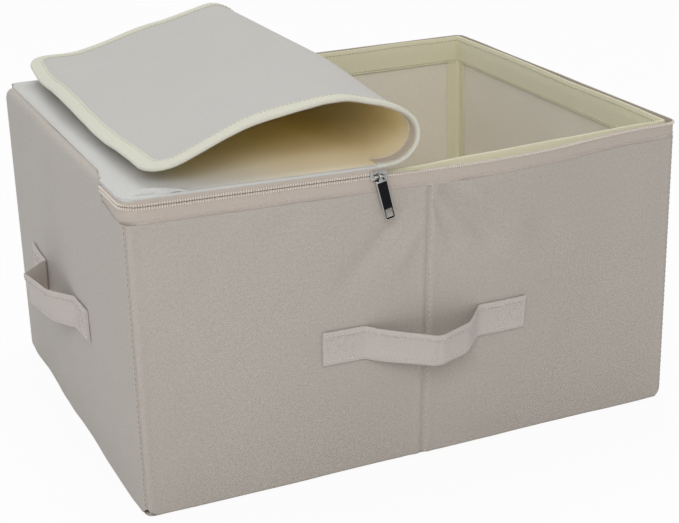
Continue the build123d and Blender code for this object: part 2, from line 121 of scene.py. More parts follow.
def nodeGroup(name, inputs, outputs):
    tree = bpy.data.node_groups.new(name, "ShaderNodeTree")
    for way, sockets in (("INPUT", inputs), ("OUTPUT", outputs)):
        for label, kind, value in sockets:
            socket = tree.interface.new_socket(label, in_out=way, socket_type=kind)
            if value is not None:
                socket.default_value = value
    return tree, tree.nodes.new("NodeGroupInput"), tree.nodes.new("NodeGroupOutput")


def calc(tree, operation, a, b=None):
    node = tree.nodes.new("ShaderNodeMath")
    node.operation = operation
    for socket, value in zip(node.inputs, (a, b)):
        if value is None:
            continue
        if isinstance(value, (int, float)):
            socket.default_value = value
        else:
            tree.links.new(value, socket)
    return node.outputs[0]


def makeWeaveGroup():
    # over-and-under threads with a diagonal, uneven thread by thread
    tree, start, end = nodeGroup(
        "clothWeave",
        [("Vector", "NodeSocketVector", None), ("Threads", "NodeSocketFloat", 600.0),
         ("Diagonal", "NodeSocketFloat", 0.5), ("Slub", "NodeSocketFloat", 0.3)],
        [("Height", "NodeSocketFloat", None), ("Shade", "NodeSocketFloat", None)],
    )
    split = tree.nodes.new("ShaderNodeSeparateXYZ")
    tree.links.new(start.outputs["Vector"], split.inputs[0])
    turns = calc(tree, "MULTIPLY", start.outputs["Threads"], math.pi)
    warp = calc(tree, "MULTIPLY", split.outputs[0], turns)
    weft = calc(tree, "MULTIPLY", split.outputs[1], turns)
    check = calc(tree, "MULTIPLY", calc(tree, "SINE", warp), calc(tree, "SINE", weft))
    slant = calc(tree, "SINE", calc(tree, "ADD", warp, weft))
    slant = calc(tree, "MULTIPLY", slant, start.outputs["Diagonal"])
    pattern = calc(tree, "ADD", check, slant)
    slub = tree.nodes.new("ShaderNodeTexNoise")
    slub.inputs["Scale"].default_value = 420.0
    slub.inputs["Detail"].default_value = 2.0
    tree.links.new(start.outputs["Vector"], slub.inputs["Vector"])
    uneven = calc(tree, "SUBTRACT", slub.outputs["Fac"], 0.5)
    uneven = calc(tree, "MULTIPLY", uneven, start.outputs["Slub"])
    height = calc(tree, "MULTIPLY", pattern, 0.3)
    height = calc(tree, "ADD", height, calc(tree, "MULTIPLY", uneven, 2.0))
    height = calc(tree, "ADD", height, 0.5)
    tree.links.new(height, end.inputs["Height"])
    low = calc(tree, "MAXIMUM", calc(tree, "MINIMUM", height, 1.0), 0.0)
    tree.links.new(low, end.inputs["Shade"])
    return tree


def makeWearGroup():
    # broad uneven colour, and fine noise for dust
    tree, start, end = nodeGroup(
        "clothWear",
        [("Vector", "NodeSocketVector", None), ("Size", "NodeSocketFloat", 9.0),
         ("Amount", "NodeSocketFloat", 0.06)],
        [("Tone", "NodeSocketFloat", None), ("Soil", "NodeSocketFloat", None)],
    )
    broad = tree.nodes.new("ShaderNodeTexNoise")
    broad.inputs["Detail"].default_value = 5.0
    broad.inputs["Roughness"].default_value = 0.6
    tree.links.new(start.outputs["Vector"], broad.inputs["Vector"])
    tree.links.new(start.outputs["Size"], broad.inputs["Scale"])
    swing = calc(tree, "SUBTRACT", broad.outputs["Fac"], 0.5)
    swing = calc(tree, "MULTIPLY", swing, start.outputs["Amount"])
    tree.links.new(calc(tree, "ADD", calc(tree, "MULTIPLY", swing, 2.0), 1.0), end.inputs["Tone"])
    fine = tree.nodes.new("ShaderNodeTexNoise")
    fine.inputs["Scale"].default_value = 140.0
    fine.inputs["Detail"].default_value = 3.0
    tree.links.new(start.outputs["Vector"], fine.inputs["Vector"])
    tree.links.new(fine.outputs["Fac"], end.inputs["Soil"])
    return tree


weaveGroup = makeWeaveGroup()
wearGroup = makeWearGroup()


def place(tree, group, **values):
    node = tree.nodes.new("ShaderNodeGroup")
    node.node_tree = group
    for name, value in values.items():
        node.inputs[name].default_value = value
    return node


def newMaterial(name, rough):
    material = bpy.data.materials.new(name)
    material.use_nodes = True
    shader = material.node_tree.nodes["Principled BSDF"]
    shader.inputs["Roughness"].default_value = rough
    return material, material.node_tree, shader


def objectNoise(tree, scale, detail):
    coord = tree.nodes.new("ShaderNodeTexCoord")
    noiseNode = tree.nodes.new("ShaderNodeTexNoise")
    noiseNode.inputs["Scale"].default_value = scale
    noiseNode.inputs["Detail"].default_value = detail
    tree.links.new(coord.outputs["Object"], noiseNode.inputs["Vector"])
    return noiseNode.outputs["Fac"]


def mixColours(tree, factor, low, high):
    # each end is a display colour or a socket
    node = tree.nodes.new("ShaderNodeMix")
    node.data_type = "RGBA"
    for label, value in (("A", low), ("B", high)):
        if isinstance(value, tuple):
            node.inputs[label].default_value = tone(*value)
        else:
            tree.links.new(value, node.inputs[label])
    tree.links.new(factor, node.inputs["Factor"])
    return node.outputs["Result"]


def addBump(tree, shader, height, strength, distance):
    lift = tree.nodes.new("ShaderNodeBump")
    lift.inputs["Strength"].default_value = strength
    lift.inputs["Distance"].default_value = distance
    tree.links.new(height, lift.inputs["Height"])
    tree.links.new(lift.outputs[0], shader.inputs["Normal"])


def makeCloth(name, light, dark, threads=900.0, diagonal=0.5, slub=0.3, bump=0.25, amount=0.05, paintedWarmShade=None):
    material, tree, shader = newMaterial(name, 0.9)
    link = tree.links.new
    shader.inputs["Sheen Weight"].default_value = 0.15
    shader.inputs["Sheen Roughness"].default_value = 0.6
    shader.inputs["Specular IOR Level"].default_value = 0.25
    run = tree.nodes.new("ShaderNodeUVMap")
    run.uv_map = "cloth"
    weave = place(tree, weaveGroup, Threads=threads, Diagonal=diagonal, Slub=slub)
    link(run.outputs[0], weave.inputs["Vector"])
    coord = tree.nodes.new("ShaderNodeTexCoord")
    wear = place(tree, wearGroup, Amount=amount)
    link(coord.outputs["Object"], wear.inputs["Vector"])
    colour = mixColours(tree, weave.outputs["Shade"], dark, light)
    if paintedWarmShade:
        # painted shade inside the turn: the cloth is tinted warm where seen directly and deep yellow to bounced
        # light, standing in for light passing from cloth to cloth and coming out yellower each time
        shade = tree.nodes.new("ShaderNodeAttribute")
        shade.attribute_name = "turn"
        path = tree.nodes.new("ShaderNodeLightPath")
        paintedShadeTint = mixColours(tree, path.outputs["Is Diffuse Ray"], paintedWarmShade, (255, 230, 104))
        colour = mixColours(tree, calc(tree, "MULTIPLY", shade.outputs["Fac"], 0.85), colour, paintedShadeTint)
    vary = tree.nodes.new("ShaderNodeVectorMath")
    vary.operation = "SCALE"
    link(colour, vary.inputs[0])
    link(wear.outputs["Tone"], vary.inputs["Scale"])
    link(vary.outputs[0], shader.inputs["Base Color"])
    addBump(tree, shader, weave.outputs["Height"], bump, 0.0003)
    return material


def makeThread(name, light, dark, scale=1500.0):
    material, tree, shader = newMaterial(name, 0.62)
    shader.inputs["Sheen Weight"].default_value = 0.2
    fibre = objectNoise(tree, scale, 3.0)
    tree.links.new(mixColours(tree, fibre, dark, light), shader.inputs["Base Color"])
    addBump(tree, shader, fibre, 0.3, 0.0002)
    return material


def makeMetal(name, colour, rough):
    material, tree, shader = newMaterial(name, rough)
    shader.inputs["Metallic"].default_value = 1.0
    smear = objectNoise(tree, 260.0, 4.0)
    uneven = calc(tree, "ADD", calc(tree, "MULTIPLY", smear, 0.16), rough)
    tree.links.new(uneven, shader.inputs["Roughness"])
    dull = tuple(c * 0.7 for c in colour)
    tree.links.new(mixColours(tree, smear, dull, colour), shader.inputs["Base Color"])
    return material


def makeBoard(name, light, dark):
    material, tree, shader = newMaterial(name, 0.85)
    pulp = objectNoise(tree, 700.0, 6.0)
    tree.links.new(mixColours(tree, pulp, dark, light), shader.inputs["Base Color"])
    return material


taupeCloth = makeCloth("taupeCloth", (199, 190, 180), (158, 149, 140), bump=0.35)
# the lid's outer cloth, with a painted warm shade inside the turn
lidTopCloth = makeCloth("lidTopCloth", (210, 208, 204), (188, 186, 181), bump=0.18, paintedWarmShade=(232, 219, 190))
lidUnderCloth = makeCloth("lidUnderCloth", (200, 196, 190), (176, 172, 166), diagonal=0.25, bump=0.15, amount=0.03)
rimTape = makeCloth("rimTape", (236, 231, 204), (216, 209, 178), diagonal=0.2, amount=0.03)
creamTape = makeCloth("creamTape", (218, 216, 201), (198, 195, 178), diagonal=0.2, amount=0.03)
liningCloth = makeCloth("liningCloth", (238, 231, 217), (224, 216, 200), 700.0, 0.0, 0.6, bump=0.12, amount=0.04)
zipCloth = makeCloth("zipCloth", (200, 188, 177), (174, 162, 151), 1100.0, diagonal=0.1, bump=0.3, amount=0.03)
strapCloth = makeCloth("strapCloth", (204, 194, 187), (180, 170, 163), diagonal=0.35, bump=0.2, amount=0.03)
taupeThread = makeThread("taupeThread", (222, 214, 204), (192, 184, 173))
tapeThread = makeThread("tapeThread", (206, 195, 184), (176, 165, 153))
creamThread = makeThread("creamThread", (214, 209, 182), (170, 164, 136))
seamThread = makeThread("seamThread", (150, 141, 130), (104, 96, 88))
coilNylon = makeThread("coilNylon", (232, 222, 211), (206, 193, 181), scale=900.0)
nickel = makeMetal("nickel", (205, 203, 200), 0.1)
blackNickel = makeMetal("blackNickel", (38, 38, 40), 0.1)
greyBoard = makeBoard("greyBoard", (170, 158, 138), (128, 116, 96))
print("materials made")


def keepMesh(name, mesh, materials, angle=60):
    for material in materials:
        mesh.materials.append(material)
    for face in mesh.polygons:
        face.use_smooth = True
    mesh.set_sharp_from_angle(angle=math.radians(angle))
    piece = bpy.data.objects.new(name, mesh)
    bpy.context.scene.collection.objects.link(piece)
    return piece


def bake(piece):
    # modifiers become plain mesh
    bpy.context.view_layer.update()
    shape = piece.evaluated_get(bpy.context.evaluated_depsgraph_get())
    mesh = bpy.data.meshes.new_from_object(shape)
    old = piece.data
    piece.modifiers.clear()
    piece.data = mesh
    mesh.name = piece.name
    bpy.data.meshes.remove(old)
    return piece


def spread(low, high, step, *finer):
    # evenly spaced stops with closer ones near the given places: (place, reach, step)
    stops, x = [low], low
    while x < high - 1e-6:
        size = min([step] + [f[2] for f in finer if abs(x - f[0]) < f[1]])
        x = min(x + size, high)
        stops.append(x)
    if len(stops) > 2 and stops[-1] - stops[-2] < 0.25 * step:
        stops.pop(-2)
    return stops


def panel(name, point, across, upward, thick, material, flip=False):
    # a sheet through point(a, b) for every a and b, given thickness on its inner side
    rows, columns = len(upward), len(across)
    verts = [Vector(point(a, b)) * mm for b in upward for a in across]
    faces = []
    for j in range(rows - 1):
        for i in range(columns - 1):
            k = j * columns + i
            quad = (k, k + 1, k + columns + 1, k + columns)
            faces.append(quad[::-1] if flip else quad)
    mesh = bpy.data.meshes.new(name)
    mesh.from_pydata(verts, [], faces)
    uv = mesh.uv_layers.new(name="cloth")
    flat = [(a * mm, b * mm) for b in upward for a in across]
    for loop in mesh.loops:
        uv.data[loop.index].uv = flat[loop.vertex_index]
    piece = keepMesh(name, mesh, [material])
    solid = piece.modifiers.new("thickness", "SOLIDIFY")
    solid.thickness = thick * mm
    solid.offset = -1
    solid.use_even_offset = True
    return bake(piece)


def sweep(name, stations, section, material, ring=False):
    # a closed section carried along stations, each a function of (a, b) in the section
    loops = [[Vector(station(a, b)) * mm for a, b in section] for station in stations]
    count, n = len(loops), len(section)
    mesh = bpy.data.meshes.new(name)
    build = bmesh.new()
    uv = build.loops.layers.uv.new("cloth")
    rows = [[build.verts.new(p) for p in loop] for loop in loops]
    along, around = [0.0], [0.0]
    for j in range(1, count + 1):
        along.append(along[-1] + (loops[j % count][0] - loops[j - 1][0]).length)
    for i in range(1, n + 1):
        around.append(around[-1] + math.dist(section[i % n], section[i - 1]) * mm)
    for j in range(count if ring else count - 1):
        for i in range(n):
            row, after, k = rows[j], rows[(j + 1) % count], (i + 1) % n
            face = build.faces.new((row[i], row[k], after[k], after[i]))
            steps = ((j, i), (j, i + 1), (j + 1, i + 1), (j + 1, i))
            for loop, (a, b) in zip(face.loops, steps):
                loop[uv].uv = (along[a], around[b])
    if not ring:
        for row in (rows[0], rows[-1]):
            face = build.faces.new(row)
            for loop, i in zip(face.loops, range(n)):
                loop[uv].uv = (section[i][0] * mm, section[i][1] * mm)
    bmesh.ops.recalc_face_normals(build, faces=build.faces)
    bmesh.ops.triangulate(build, faces=[f for f in build.faces if len(f.verts) > 4])
    build.to_mesh(mesh)
    build.free()
    return keepMesh(name, mesh, [material], 50)


def join(name, pieces):
    # several parts of one piece as one mesh
    build = bmesh.new()
    materials = []
    for piece in pieces:
        shift = {}
        for i, material in enumerate(piece.data.materials):
            if material not in materials:
                materials.append(material)
            shift[i] = materials.index(material)
        for face in piece.data.polygons:
            face.material_index = shift[face.material_index]
        build.from_mesh(piece.data)
    mesh = bpy.data.meshes.new(name)
    build.to_mesh(mesh)
    build.free()
    for piece in pieces:
        old = piece.data
        bpy.data.objects.remove(piece)
        bpy.data.meshes.remove(old)
    piece = bpy.data.objects.new(name, mesh)
    for material in materials:
        mesh.materials.append(material)
    bpy.context.scene.collection.objects.link(piece)
    return piece


def makeRepeatTree():
    # one small rounded body at each step of a line: a stitch, or a tooth of the zip
    tree = bpy.data.node_groups.new("repeatAlong", "GeometryNodeTree")
    face = tree.interface
    face.new_socket("Geometry", in_out="OUTPUT", socket_type="NodeSocketGeometry")
    face.new_socket("Geometry", in_out="INPUT", socket_type="NodeSocketGeometry")
    for name in ("Pitch", "Length", "Width", "Height", "Uneven"):
        face.new_socket(name, in_out="INPUT", socket_type="NodeSocketFloat")
    face.new_socket("Seed", in_out="INPUT", socket_type="NodeSocketInt").default_value = 3
    face.new_socket("Material", in_out="INPUT", socket_type="NodeSocketMaterial")
    link = tree.links.new
    make = tree.nodes.new
    start, end = make("NodeGroupInput"), make("NodeGroupOutput")
    line = make("GeometryNodeMeshToCurve")
    link(start.outputs["Geometry"], line.inputs["Mesh"])
    steps = make("GeometryNodeResampleCurve")
    steps.mode = "LENGTH"
    link(line.outputs[0], steps.inputs["Curve"])
    link(start.outputs["Pitch"], steps.inputs["Length"])
    ball = make("GeometryNodeMeshUVSphere")
    ball.inputs["Segments"].default_value = 6
    ball.inputs["Rings"].default_value = 5
    ball.inputs["Radius"].default_value = 0.5
    size = make("ShaderNodeCombineXYZ")
    for socket, name in zip(size.inputs, ("Length", "Width", "Height")):
        link(start.outputs[name], socket)
    across = make("GeometryNodeInputNamedAttribute")
    across.data_type = "FLOAT_VECTOR"
    across.inputs["Name"].default_value = "across"
    tangent = make("GeometryNodeInputTangent")
    first = make("FunctionNodeAlignRotationToVector")
    first.axis = "X"
    link(tangent.outputs[0], first.inputs["Vector"])
    second = make("FunctionNodeAlignRotationToVector")
    second.axis = "Y"
    second.pivot_axis = "X"
    link(first.outputs[0], second.inputs["Rotation"])
    link(across.outputs["Attribute"], second.inputs["Vector"])
    vary = make("FunctionNodeRandomValue")
    vary.data_type = "FLOAT"
    link(start.outputs["Seed"], vary.inputs["Seed"])
    low, high = make("ShaderNodeMath"), make("ShaderNodeMath")
    for node, operation in ((low, "SUBTRACT"), (high, "ADD")):
        node.operation = operation
        node.inputs[0].default_value = 1.0
        link(start.outputs["Uneven"], node.inputs[1])
    floats = [s for s in vary.inputs if s.type == "VALUE" and s.enabled]
    link(low.outputs[0], floats[0])
    link(high.outputs[0], floats[1])
    grow = make("ShaderNodeVectorMath")
    grow.operation = "SCALE"
    link(size.outputs[0], grow.inputs[0])
    link([s for s in vary.outputs if s.type == "VALUE" and s.enabled][0], grow.inputs["Scale"])
    each = make("GeometryNodeInstanceOnPoints")
    link(steps.outputs[0], each.inputs["Points"])
    link(ball.outputs["Mesh"], each.inputs["Instance"])
    link(second.outputs[0], each.inputs["Rotation"])
    link(grow.outputs[0], each.inputs["Scale"])
    real = make("GeometryNodeRealizeInstances")
    link(each.outputs[0], real.inputs[0])
    paint = make("GeometryNodeSetMaterial")
    link(real.outputs[0], paint.inputs["Geometry"])
    link(start.outputs["Material"], paint.inputs["Material"])
    link(paint.outputs[0], end.inputs[0])
    return tree


repeatTree = makeRepeatTree()
stitch = dict(Pitch=4.4, Length=3.2, Width=1.05, Height=0.9, Uneven=0.08, Seed=3)
tooth = dict(Pitch=2.0, Length=1.35, Width=2.9, Height=2.0, Uneven=0.03, Seed=5)


def repeat(name, lines, material, sizes):
    # lines: each a list of (point, across)
    verts, edges, sides = [], [], []
    for line in lines:
        base = len(verts)
        for p, side in line:
            verts.append(Vector(p) * mm)
            sides.extend(Vector(side))
        edges += [(base + i, base + i + 1) for i in range(len(line) - 1)]
    mesh = bpy.data.meshes.new(name)
    mesh.from_pydata(verts, edges, [])
    mesh.attributes.new("across", "FLOAT_VECTOR", "POINT").data.foreach_set("vector", sides)
    piece = bpy.data.objects.new(name, mesh)
    bpy.context.scene.collection.objects.link(piece)
    rig = piece.modifiers.new("repeat", "NODES")
    rig.node_group = repeatTree
    for item in repeatTree.interface.items_tree:
        if item.item_type != "SOCKET" or item.in_out != "INPUT" or item.name == "Geometry":
            continue
        if item.name == "Material":
            rig[item.identifier] = material
        elif item.name in ("Seed", "Uneven"):
            rig[item.identifier] = sizes[item.name]
        else:
            rig[item.identifier] = sizes[item.name] * mm
    bake(piece)
    for face in piece.data.polygons:
        face.use_smooth = True
    return piece


def dress(piece, body, slot, *nodes):
    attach(piece, body)
    if nodes:
        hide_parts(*nodes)
    return piece


front = dict(
    # how far the top edge bows out along the wall
    bow=[(-250, 0), (0, 18), (45, 19.8), (87, 19), (125, 14.6), (156, 8.6), (185, 4), (212, 1.4), (250, 0)],
    over=0.8,
    seamWidth=2.2,
    seamDepth=1.6,
    # soft ridges: start and end (along, up), width, height
    folds=[
        (8, 250, 66, 186, 7, -4.6),
        (3, 240, 28, 190, 5, -3.2),
        (24, 252, 98, 198, 9, 3.0),
        (44, 250, 84, 208, 6, -1.8),
        (-20, 236, -78, 168, 8, -3.0),
        (-6, 218, -34, 178, 6, 1.8),
        (70, 246, 132, 172, 15, -2.0),
        (-110, 246, -150, 206, 16, -1.4),
    ],
)
sideWall = dict(bulge=5.0, roll=7.0, rollFrom=266.0, lidSeam=276.6, high=272.0, zipEnd=140.0, slope=4.5)


def bowAt(x):
    return through(front["bow"], x)


def frontOut(x, z):
    share = min(z / box["top"], 1.0)
    out = bowAt(x) * share
    inside = soften((box["half"] - abs(x)) / 30)
    out += inside * (front["over"] + ripple(x, 7, z, 95, 1.5) + ripple(x, 3, z, 34, 0.5))
    under = soften((262 - z) / 26)  # the rim holds the top edge straight
    for line in front["folds"]:
        out += fold(x, z, *line) * under
    out -= front["seamDepth"] * math.exp(-((x / front["seamWidth"]) ** 2))
    out += 0.5 * math.exp(-(((abs(x) - 5.5) / 3) ** 2))
    edge = box["half"] - abs(x)
    out += 0.7 * math.exp(-(((edge - 6) / 3.5) ** 2)) * soften(edge / 3)
    return out


def backOut(x, z):
    inside = soften((box["half"] - abs(x)) / 30)
    out = inside * (ripple(x, 31, z, 90, 1.8) + ripple(x, 37, z, 30, 0.4))
    out += 2.0 * inside * soften(z / 120) * (1 - abs(x) / box["half"])
    return out - front["seamDepth"] * math.exp(-((x / front["seamWidth"]) ** 2))


def sideOut(y, z, seed):
    inside = soften((box["back"] - abs(y)) / 45)
    along = math.cos(y / box["back"] * math.pi / 2)
    swell = 1 + sideWall["bulge"] * along * math.sin(min(z / sideWall["high"], 1) * math.pi)
    return inside * (swell + ripple(y, seed, z, 80, 1.5) + ripple(y, seed + 5, z, 28, 0.4))


def rollShare(y):
    # the roll along the left wall's top flattens out towards the zip's end
    return soften((y + sideWall["zipEnd"] + 1) / 32)


def leftTop(y):
    # the left cloth is cut down under the front end of the zip
    reach = -y - sideWall["zipEnd"]
    if reach < 0:
        return sideWall["lidSeam"]
    width = box["back"] - sideWall["zipEnd"] - 10
    low = box["top"] + sideWall["slope"] * (1 - soften((reach - 3) / width))
    return mix(sideWall["lidSeam"], low, soften(reach / 3))


def corner(a, half, radius):
    # along and inward offsets round half of an upright corner
    straight = half - radius
    if abs(a) <= straight:
        return a, 0.0
    turn = (abs(a) - straight) / radius
    return math.copysign(straight + radius * math.sin(turn), a), radius * (1 - math.cos(turn))


def foot(z):
    r = box["foot"]
    return 0.0 if z >= r else r - math.sqrt(max(r * r - (r - z) ** 2, 0))


def wallPoint(side, a, z, lift=0.0):
    # a point on the outer cloth: a is along the wall, left to right as seen from outside
    r = box["corner"]
    half = box["half"] if side in ("front", "back") else box["back"]
    # the corners at the floor are rounder
    z = z + 8.0 * math.exp(-(((half - abs(a)) / 8) ** 2)) * (1 - soften(z / 20))
    if side == "front":
        x, inset = corner(a, box["half"], r)
        return (x, -box["back"] + inset + foot(z) - frontOut(a, z) - lift, z)
    if side == "back":
        x, inset = corner(a, box["half"], r)
        return (-x, box["back"] - inset - foot(z) + backOut(-a, z) + lift, z)
    y, inset = corner(a, box["back"], r)
    if side == "left":
        turn = min(max(z - sideWall["rollFrom"], 0) / sideWall["roll"], math.pi / 2)
        inset += sideWall["roll"] * (1 - math.cos(turn)) * rollShare(-y) + foot(z) - sideOut(-a, z, 11)
        z = min(z, sideWall["rollFrom"]) + sideWall["roll"] * math.sin(turn)
        # the back corner slopes down where the roll runs out
        z -= 6 * math.exp(-(((half + a) / 9) ** 2)) * soften((z - 250) / 18)
        return (-box["half"] + inset - lift * math.cos(turn), -y, z + lift * math.sin(turn))
    return (box["half"] - inset - foot(z) + sideOut(a, z, 23) + lift, y, z)


def makeWall(side, half):
    arc = box["corner"] * math.pi / 4
    end = half - box["corner"] + arc
    across = spread(-end, end, 4.0, (-end, 12, 1.4), (end - 12, 13, 1.4), (0, 12, 1.0))
    upward = spread(0, box["top"], 4.0, (0, 5, 0.7), (box["top"] - 4, 6, 1.5))

    def point(a, z):
        if side == "left":
            z = z * leftTop(-a) / box["top"]
        return wallPoint(side, a, z)

    wall = panel(f"{side}Wall", point, across, upward, box["cloth"], taupeCloth)
    return dress(wall, "box", "outer_cloth", f"{side}_cloth")


wallHalves = dict(front=box["half"], back=box["half"], left=box["back"], right=box["back"])
for side, half in wallHalves.items():
    makeWall(side, half)

boards = dict(inset=2.1, thick=2.5, gap=1.6, low=2.5, top=250.0, side=5.4)


def makeBoards():
    # the stiff boards lie right behind the cloth and take its shape
    b = boards

    def put(name, side, a0, a1, *nodes):
        def point(a, z):
            return wallPoint(side, a, z, -b["inset"])

        upward = spread(b["low"], b["top"], 4)
        board = panel(name, point, spread(a0, a1, 3), upward, b["thick"], greyBoard)
        dress(board, "box", "board", *nodes)

    for side in ("front", "back"):
        reach = box["half"] - b["side"]
        put(side + "BoardLeft", side, -reach, -b["gap"], side + "_board_left")
        put(side + "BoardRight", side, b["gap"], reach, side + "_board_right")
    reach = box["back"] - b["side"] - 4
    for side in ("left", "right"):
        put(side + "Board", side, -reach, reach, side + "_board")


makeBoards()


def makeBottom():
    inset = box["foot"] - 1.5
    w, d = box["half"] - inset, box["back"] - inset
    r = box["corner"]

    def point(a, b):
        x = a
        limit = d
        if abs(a) > w - r:
            over = abs(a) - (w - r)
            limit = d - r + math.sqrt(max(r * r - over * over, 0))
        return (x, b / box["back"] * limit, 0.05 + 0.25 * abs(noise.noise(Vector((a / 60, b / 60, 5)))))

    across = spread(-w, w, 10, (-w, r, 1), (w - r, r + 1, 1))
    upward = spread(-box["back"], box["back"], 10)
    bottom = panel("bottomCloth", point, across, upward, box["cloth"], taupeCloth, flip=True)
    return dress(bottom, "box", "outer_cloth", "bottom_cloth")


makeBottom()


def wallLine(side, a0, z0, a1, z1, lift, step=6):
    # a straight line drawn on a wall
    steps = max(2, int(math.dist((a0, z0), (a1, z1)) / step))
    places = [(mix(a0, a1, i / steps), mix(z0, z1, i / steps)) for i in range(steps + 1)]
    points = [Vector(wallPoint(side, a, z, lift)) for a, z in places]
    line = []
    for i, (a, z) in enumerate(places):
        ahead = points[min(i + 1, steps)] - points[max(i - 1, 0)]
        outward = Vector(wallPoint(side, a, z, lift + 1)) - points[i]
        line.append((points[i], ahead.cross(outward).normalized()))
    return line


seamLines = [wallLine(side, 2.2, 3, 2.2, box["top"] - 2, 0.3) for side in ("front", "back")]
creaseStitch = dict(stitch, Pitch=5.0, Length=3.2, Width=0.8, Height=0.7)
dress(repeat("creaseStitches", seamLines, taupeThread, creaseStitch), "box", "outer_cloth")
edgeLines = []
for side in ("left", "right"):
    reach = box["back"] - box["corner"] + box["corner"] * math.pi / 4 - 1.6
    edgeLines += [wallLine(side, way * reach, 6, way * reach, box["top"] - 2, -0.15) for way in (-1, 1)]
cornerStitch = dict(stitch, Pitch=4.6, Length=3.0, Width=0.9, Height=0.6)
dress(repeat("cornerStitches", edgeLines, seamThread, cornerStitch), "box", "outer_cloth")
print("walls made")


zipper = dict(
    radius=14.0,
    rightRadius=8.0,
    tapeLow=251.0,
    tapeHigh=265.4,
    boxTeeth=264.1,
    lidTeeth=267.2,
    lidTapeLow=265.9,
    lidTapeHigh=272.6,
    tape=0.8,
    tapeOut=-0.1,  # from the walls' outer face
    teethOut=0.2,
    stitches=254.2,
    stub=58.0,
    end=-35.5,  # where the lid's half ends, at the turn
)


def ringPath(radius, step=4.0, closed=False):
    # the mouth's outline from the left stub, round the front, right and back
    h, b, r, q = box["half"], box["back"], radius, zipper["rightRadius"]
    stub = zipper["stub"]
    line = []

    def run(x0, y0, x1, y1, nx, ny):
        count = max(1, int(math.dist((x0, y0), (x1, y1)) / step))
        for i in range(count):
            line.append((mix(x0, x1, i / count), mix(y0, y1, i / count), nx, ny))

    def arc(cx, cy, start, r):
        count = max(4, int(r * math.pi / 2 / (step / 2)))
        for i in range(count):
            a = math.radians(start + 90 * i / count)
            line.append((cx + r * math.cos(a), cy + r * math.sin(a), math.cos(a), math.sin(a)))

    run(-h, -b + stub, -h, -b + r, -1, 0)
    arc(-h + r, -b + r, 180, r)
    run(-h + r, -b, h - q, -b, 0, -1)
    arc(h - q, -b + q, 270, q)
    run(h, -b + q, h, b - q, 1, 0)
    arc(h - q, b - q, 0, q)
    run(h - q, b, -h + r, b, 0, 1)
    arc(-h + r, b - r, 90, r)
    if closed:
        run(-h, b - r, -h, -b + stub, -1, 0)
        return line
    # the open ring ends inside the roll of the back left corner
    return [spot for spot in line if not (spot[1] > 0 and spot[2] < -0.55)]


def ringStation(spot, low=0.0):
    # section a is out from the line and b is up
    x, y, nx, ny = spot

    def station(a, b):
        bow = bowAt(x) + 0.7 * soften((box["half"] - abs(x)) / 30) if y < 0 and ny < 0.5 else 0.0
        bow *= 1.0 if ny < -0.3 else max(0.0, -ny)
        wave = ripple(x, y, 40, 45, 0.5)
        return (x + nx * (a + wave), y + ny * (a + wave) - bow, max(low, b))

    return station


def tapeSection(low, high):
    out, back, middle = zipper["tapeOut"], zipper["tapeOut"] - zipper["tape"], (low + high) / 2
    return [(out, low), (out, middle), (out, high), (back, high), (back, middle), (back, low)]


def lowFor(spot):
    # the band narrows round the left corners
    x, y, nx, ny = spot
    return leftTop(y) - 1.0 if nx < -0.7 and x < 0 else 0.0


def makeBoxZip():
    path = ringPath(zipper["radius"])
    stations = [ringStation(spot, lowFor(spot)) for spot in path]
    tape = sweep("boxZipTape", stations, tapeSection(zipper["tapeLow"], zipper["tapeHigh"]), zipCloth)
    dress(tape, "box", "zip_tape", "box_zip_tape")
    line = [(ringStation(spot)(zipper["teethOut"], zipper["boxTeeth"]), (0, 0, 1)) for spot in path]
    teeth = repeat("boxZipTeeth", [line], coilNylon, tooth)
    dress(teeth, "box", "zip_teeth", "box_zip_teeth")
    line = [(station(0.05, zipper["stitches"]), (0, 0, 1)) for station in stations]
    dress(repeat("tapeStitches", [line], tapeThread, stitch), "box", "zip_tape")


def makeLidZip():
    path = ringPath(zipper["radius"])
    halfway = len(path) // 2
    parts = [
        [spot for i, spot in enumerate(path) if i < halfway and spot[0] < zipper["end"]],
        [spot for i, spot in enumerate(path) if i > halfway and spot[0] < zipper["end"]],
    ]
    section = tapeSection(zipper["lidTapeLow"], zipper["lidTapeHigh"])
    tapes = [sweep("tape", [ringStation(s) for s in part], section, zipCloth) for part in parts]
    dress(join("lidZipTape", tapes), "lid", "zip_tape", "lid_zip_tape")
    spot = (zipper["teethOut"], zipper["lidTeeth"])
    lines = [[(ringStation(s)(*spot), (0, 0, 1)) for s in part] for part in parts]
    teeth = repeat("lidZipTeeth", lines, coilNylon, tooth)
    dress(teeth, "lid", "zip_teeth", "lid_zip_teeth")


makeBoxZip()
makeLidZip()
print("zip made")


lid = dict(
    fold=-36.0,  # where it starts to turn back
    inside=27.0,
    turn=192.0,
    top=273.7,
    thick=1.8,
    flap=189.3,
    frontEdge=-212.9,
    corner=30.0,
    hinges=4,
    binding=12.0,
    # how much higher the front edge rides along the flap, which starts at 0
    billow=[(-0.49, 0), (-0.38, -2), (-0.25, -6), (-0.12, -9.5), (-0.04, -7.5), (0.04, -0.5), (0.1, 5.5),
            (0.16, 10.5), (0.29, 16), (0.49, 17), (0.65, 13), (0.8, 8), (0.93, 4.5), (1, 3)],
)
lid["flat"] = box["half"] + lid["fold"]
lid["arc"] = math.radians(lid["turn"]) * (lid["inside"] + 0.9)
lid["length"] = lid["flat"] + lid["arc"] + lid["flap"]


def lidEdge(s, way):
    # y of the front (-1) or back (1) edge at a length from the sewn side
    if way > 0:
        edge = box["back"] - 0.4
        if s < 20:
            edge -= 14 - math.sqrt(max(14**2 - (14 - min(s, 14)) ** 2, 0))
        return edge
    if s < lid["flat"]:
        edge = -box["back"] - bowAt(-box["half"] + s)
        if s < 14:
            edge += 14 - math.sqrt(max(14**2 - (14 - s) ** 2, 0))
        return edge
    share = min(max((s - lid["flat"] - lid["arc"]) / lid["flap"], 0), 1)
    return mix(lid["frontEdge"], -box["back"], share)


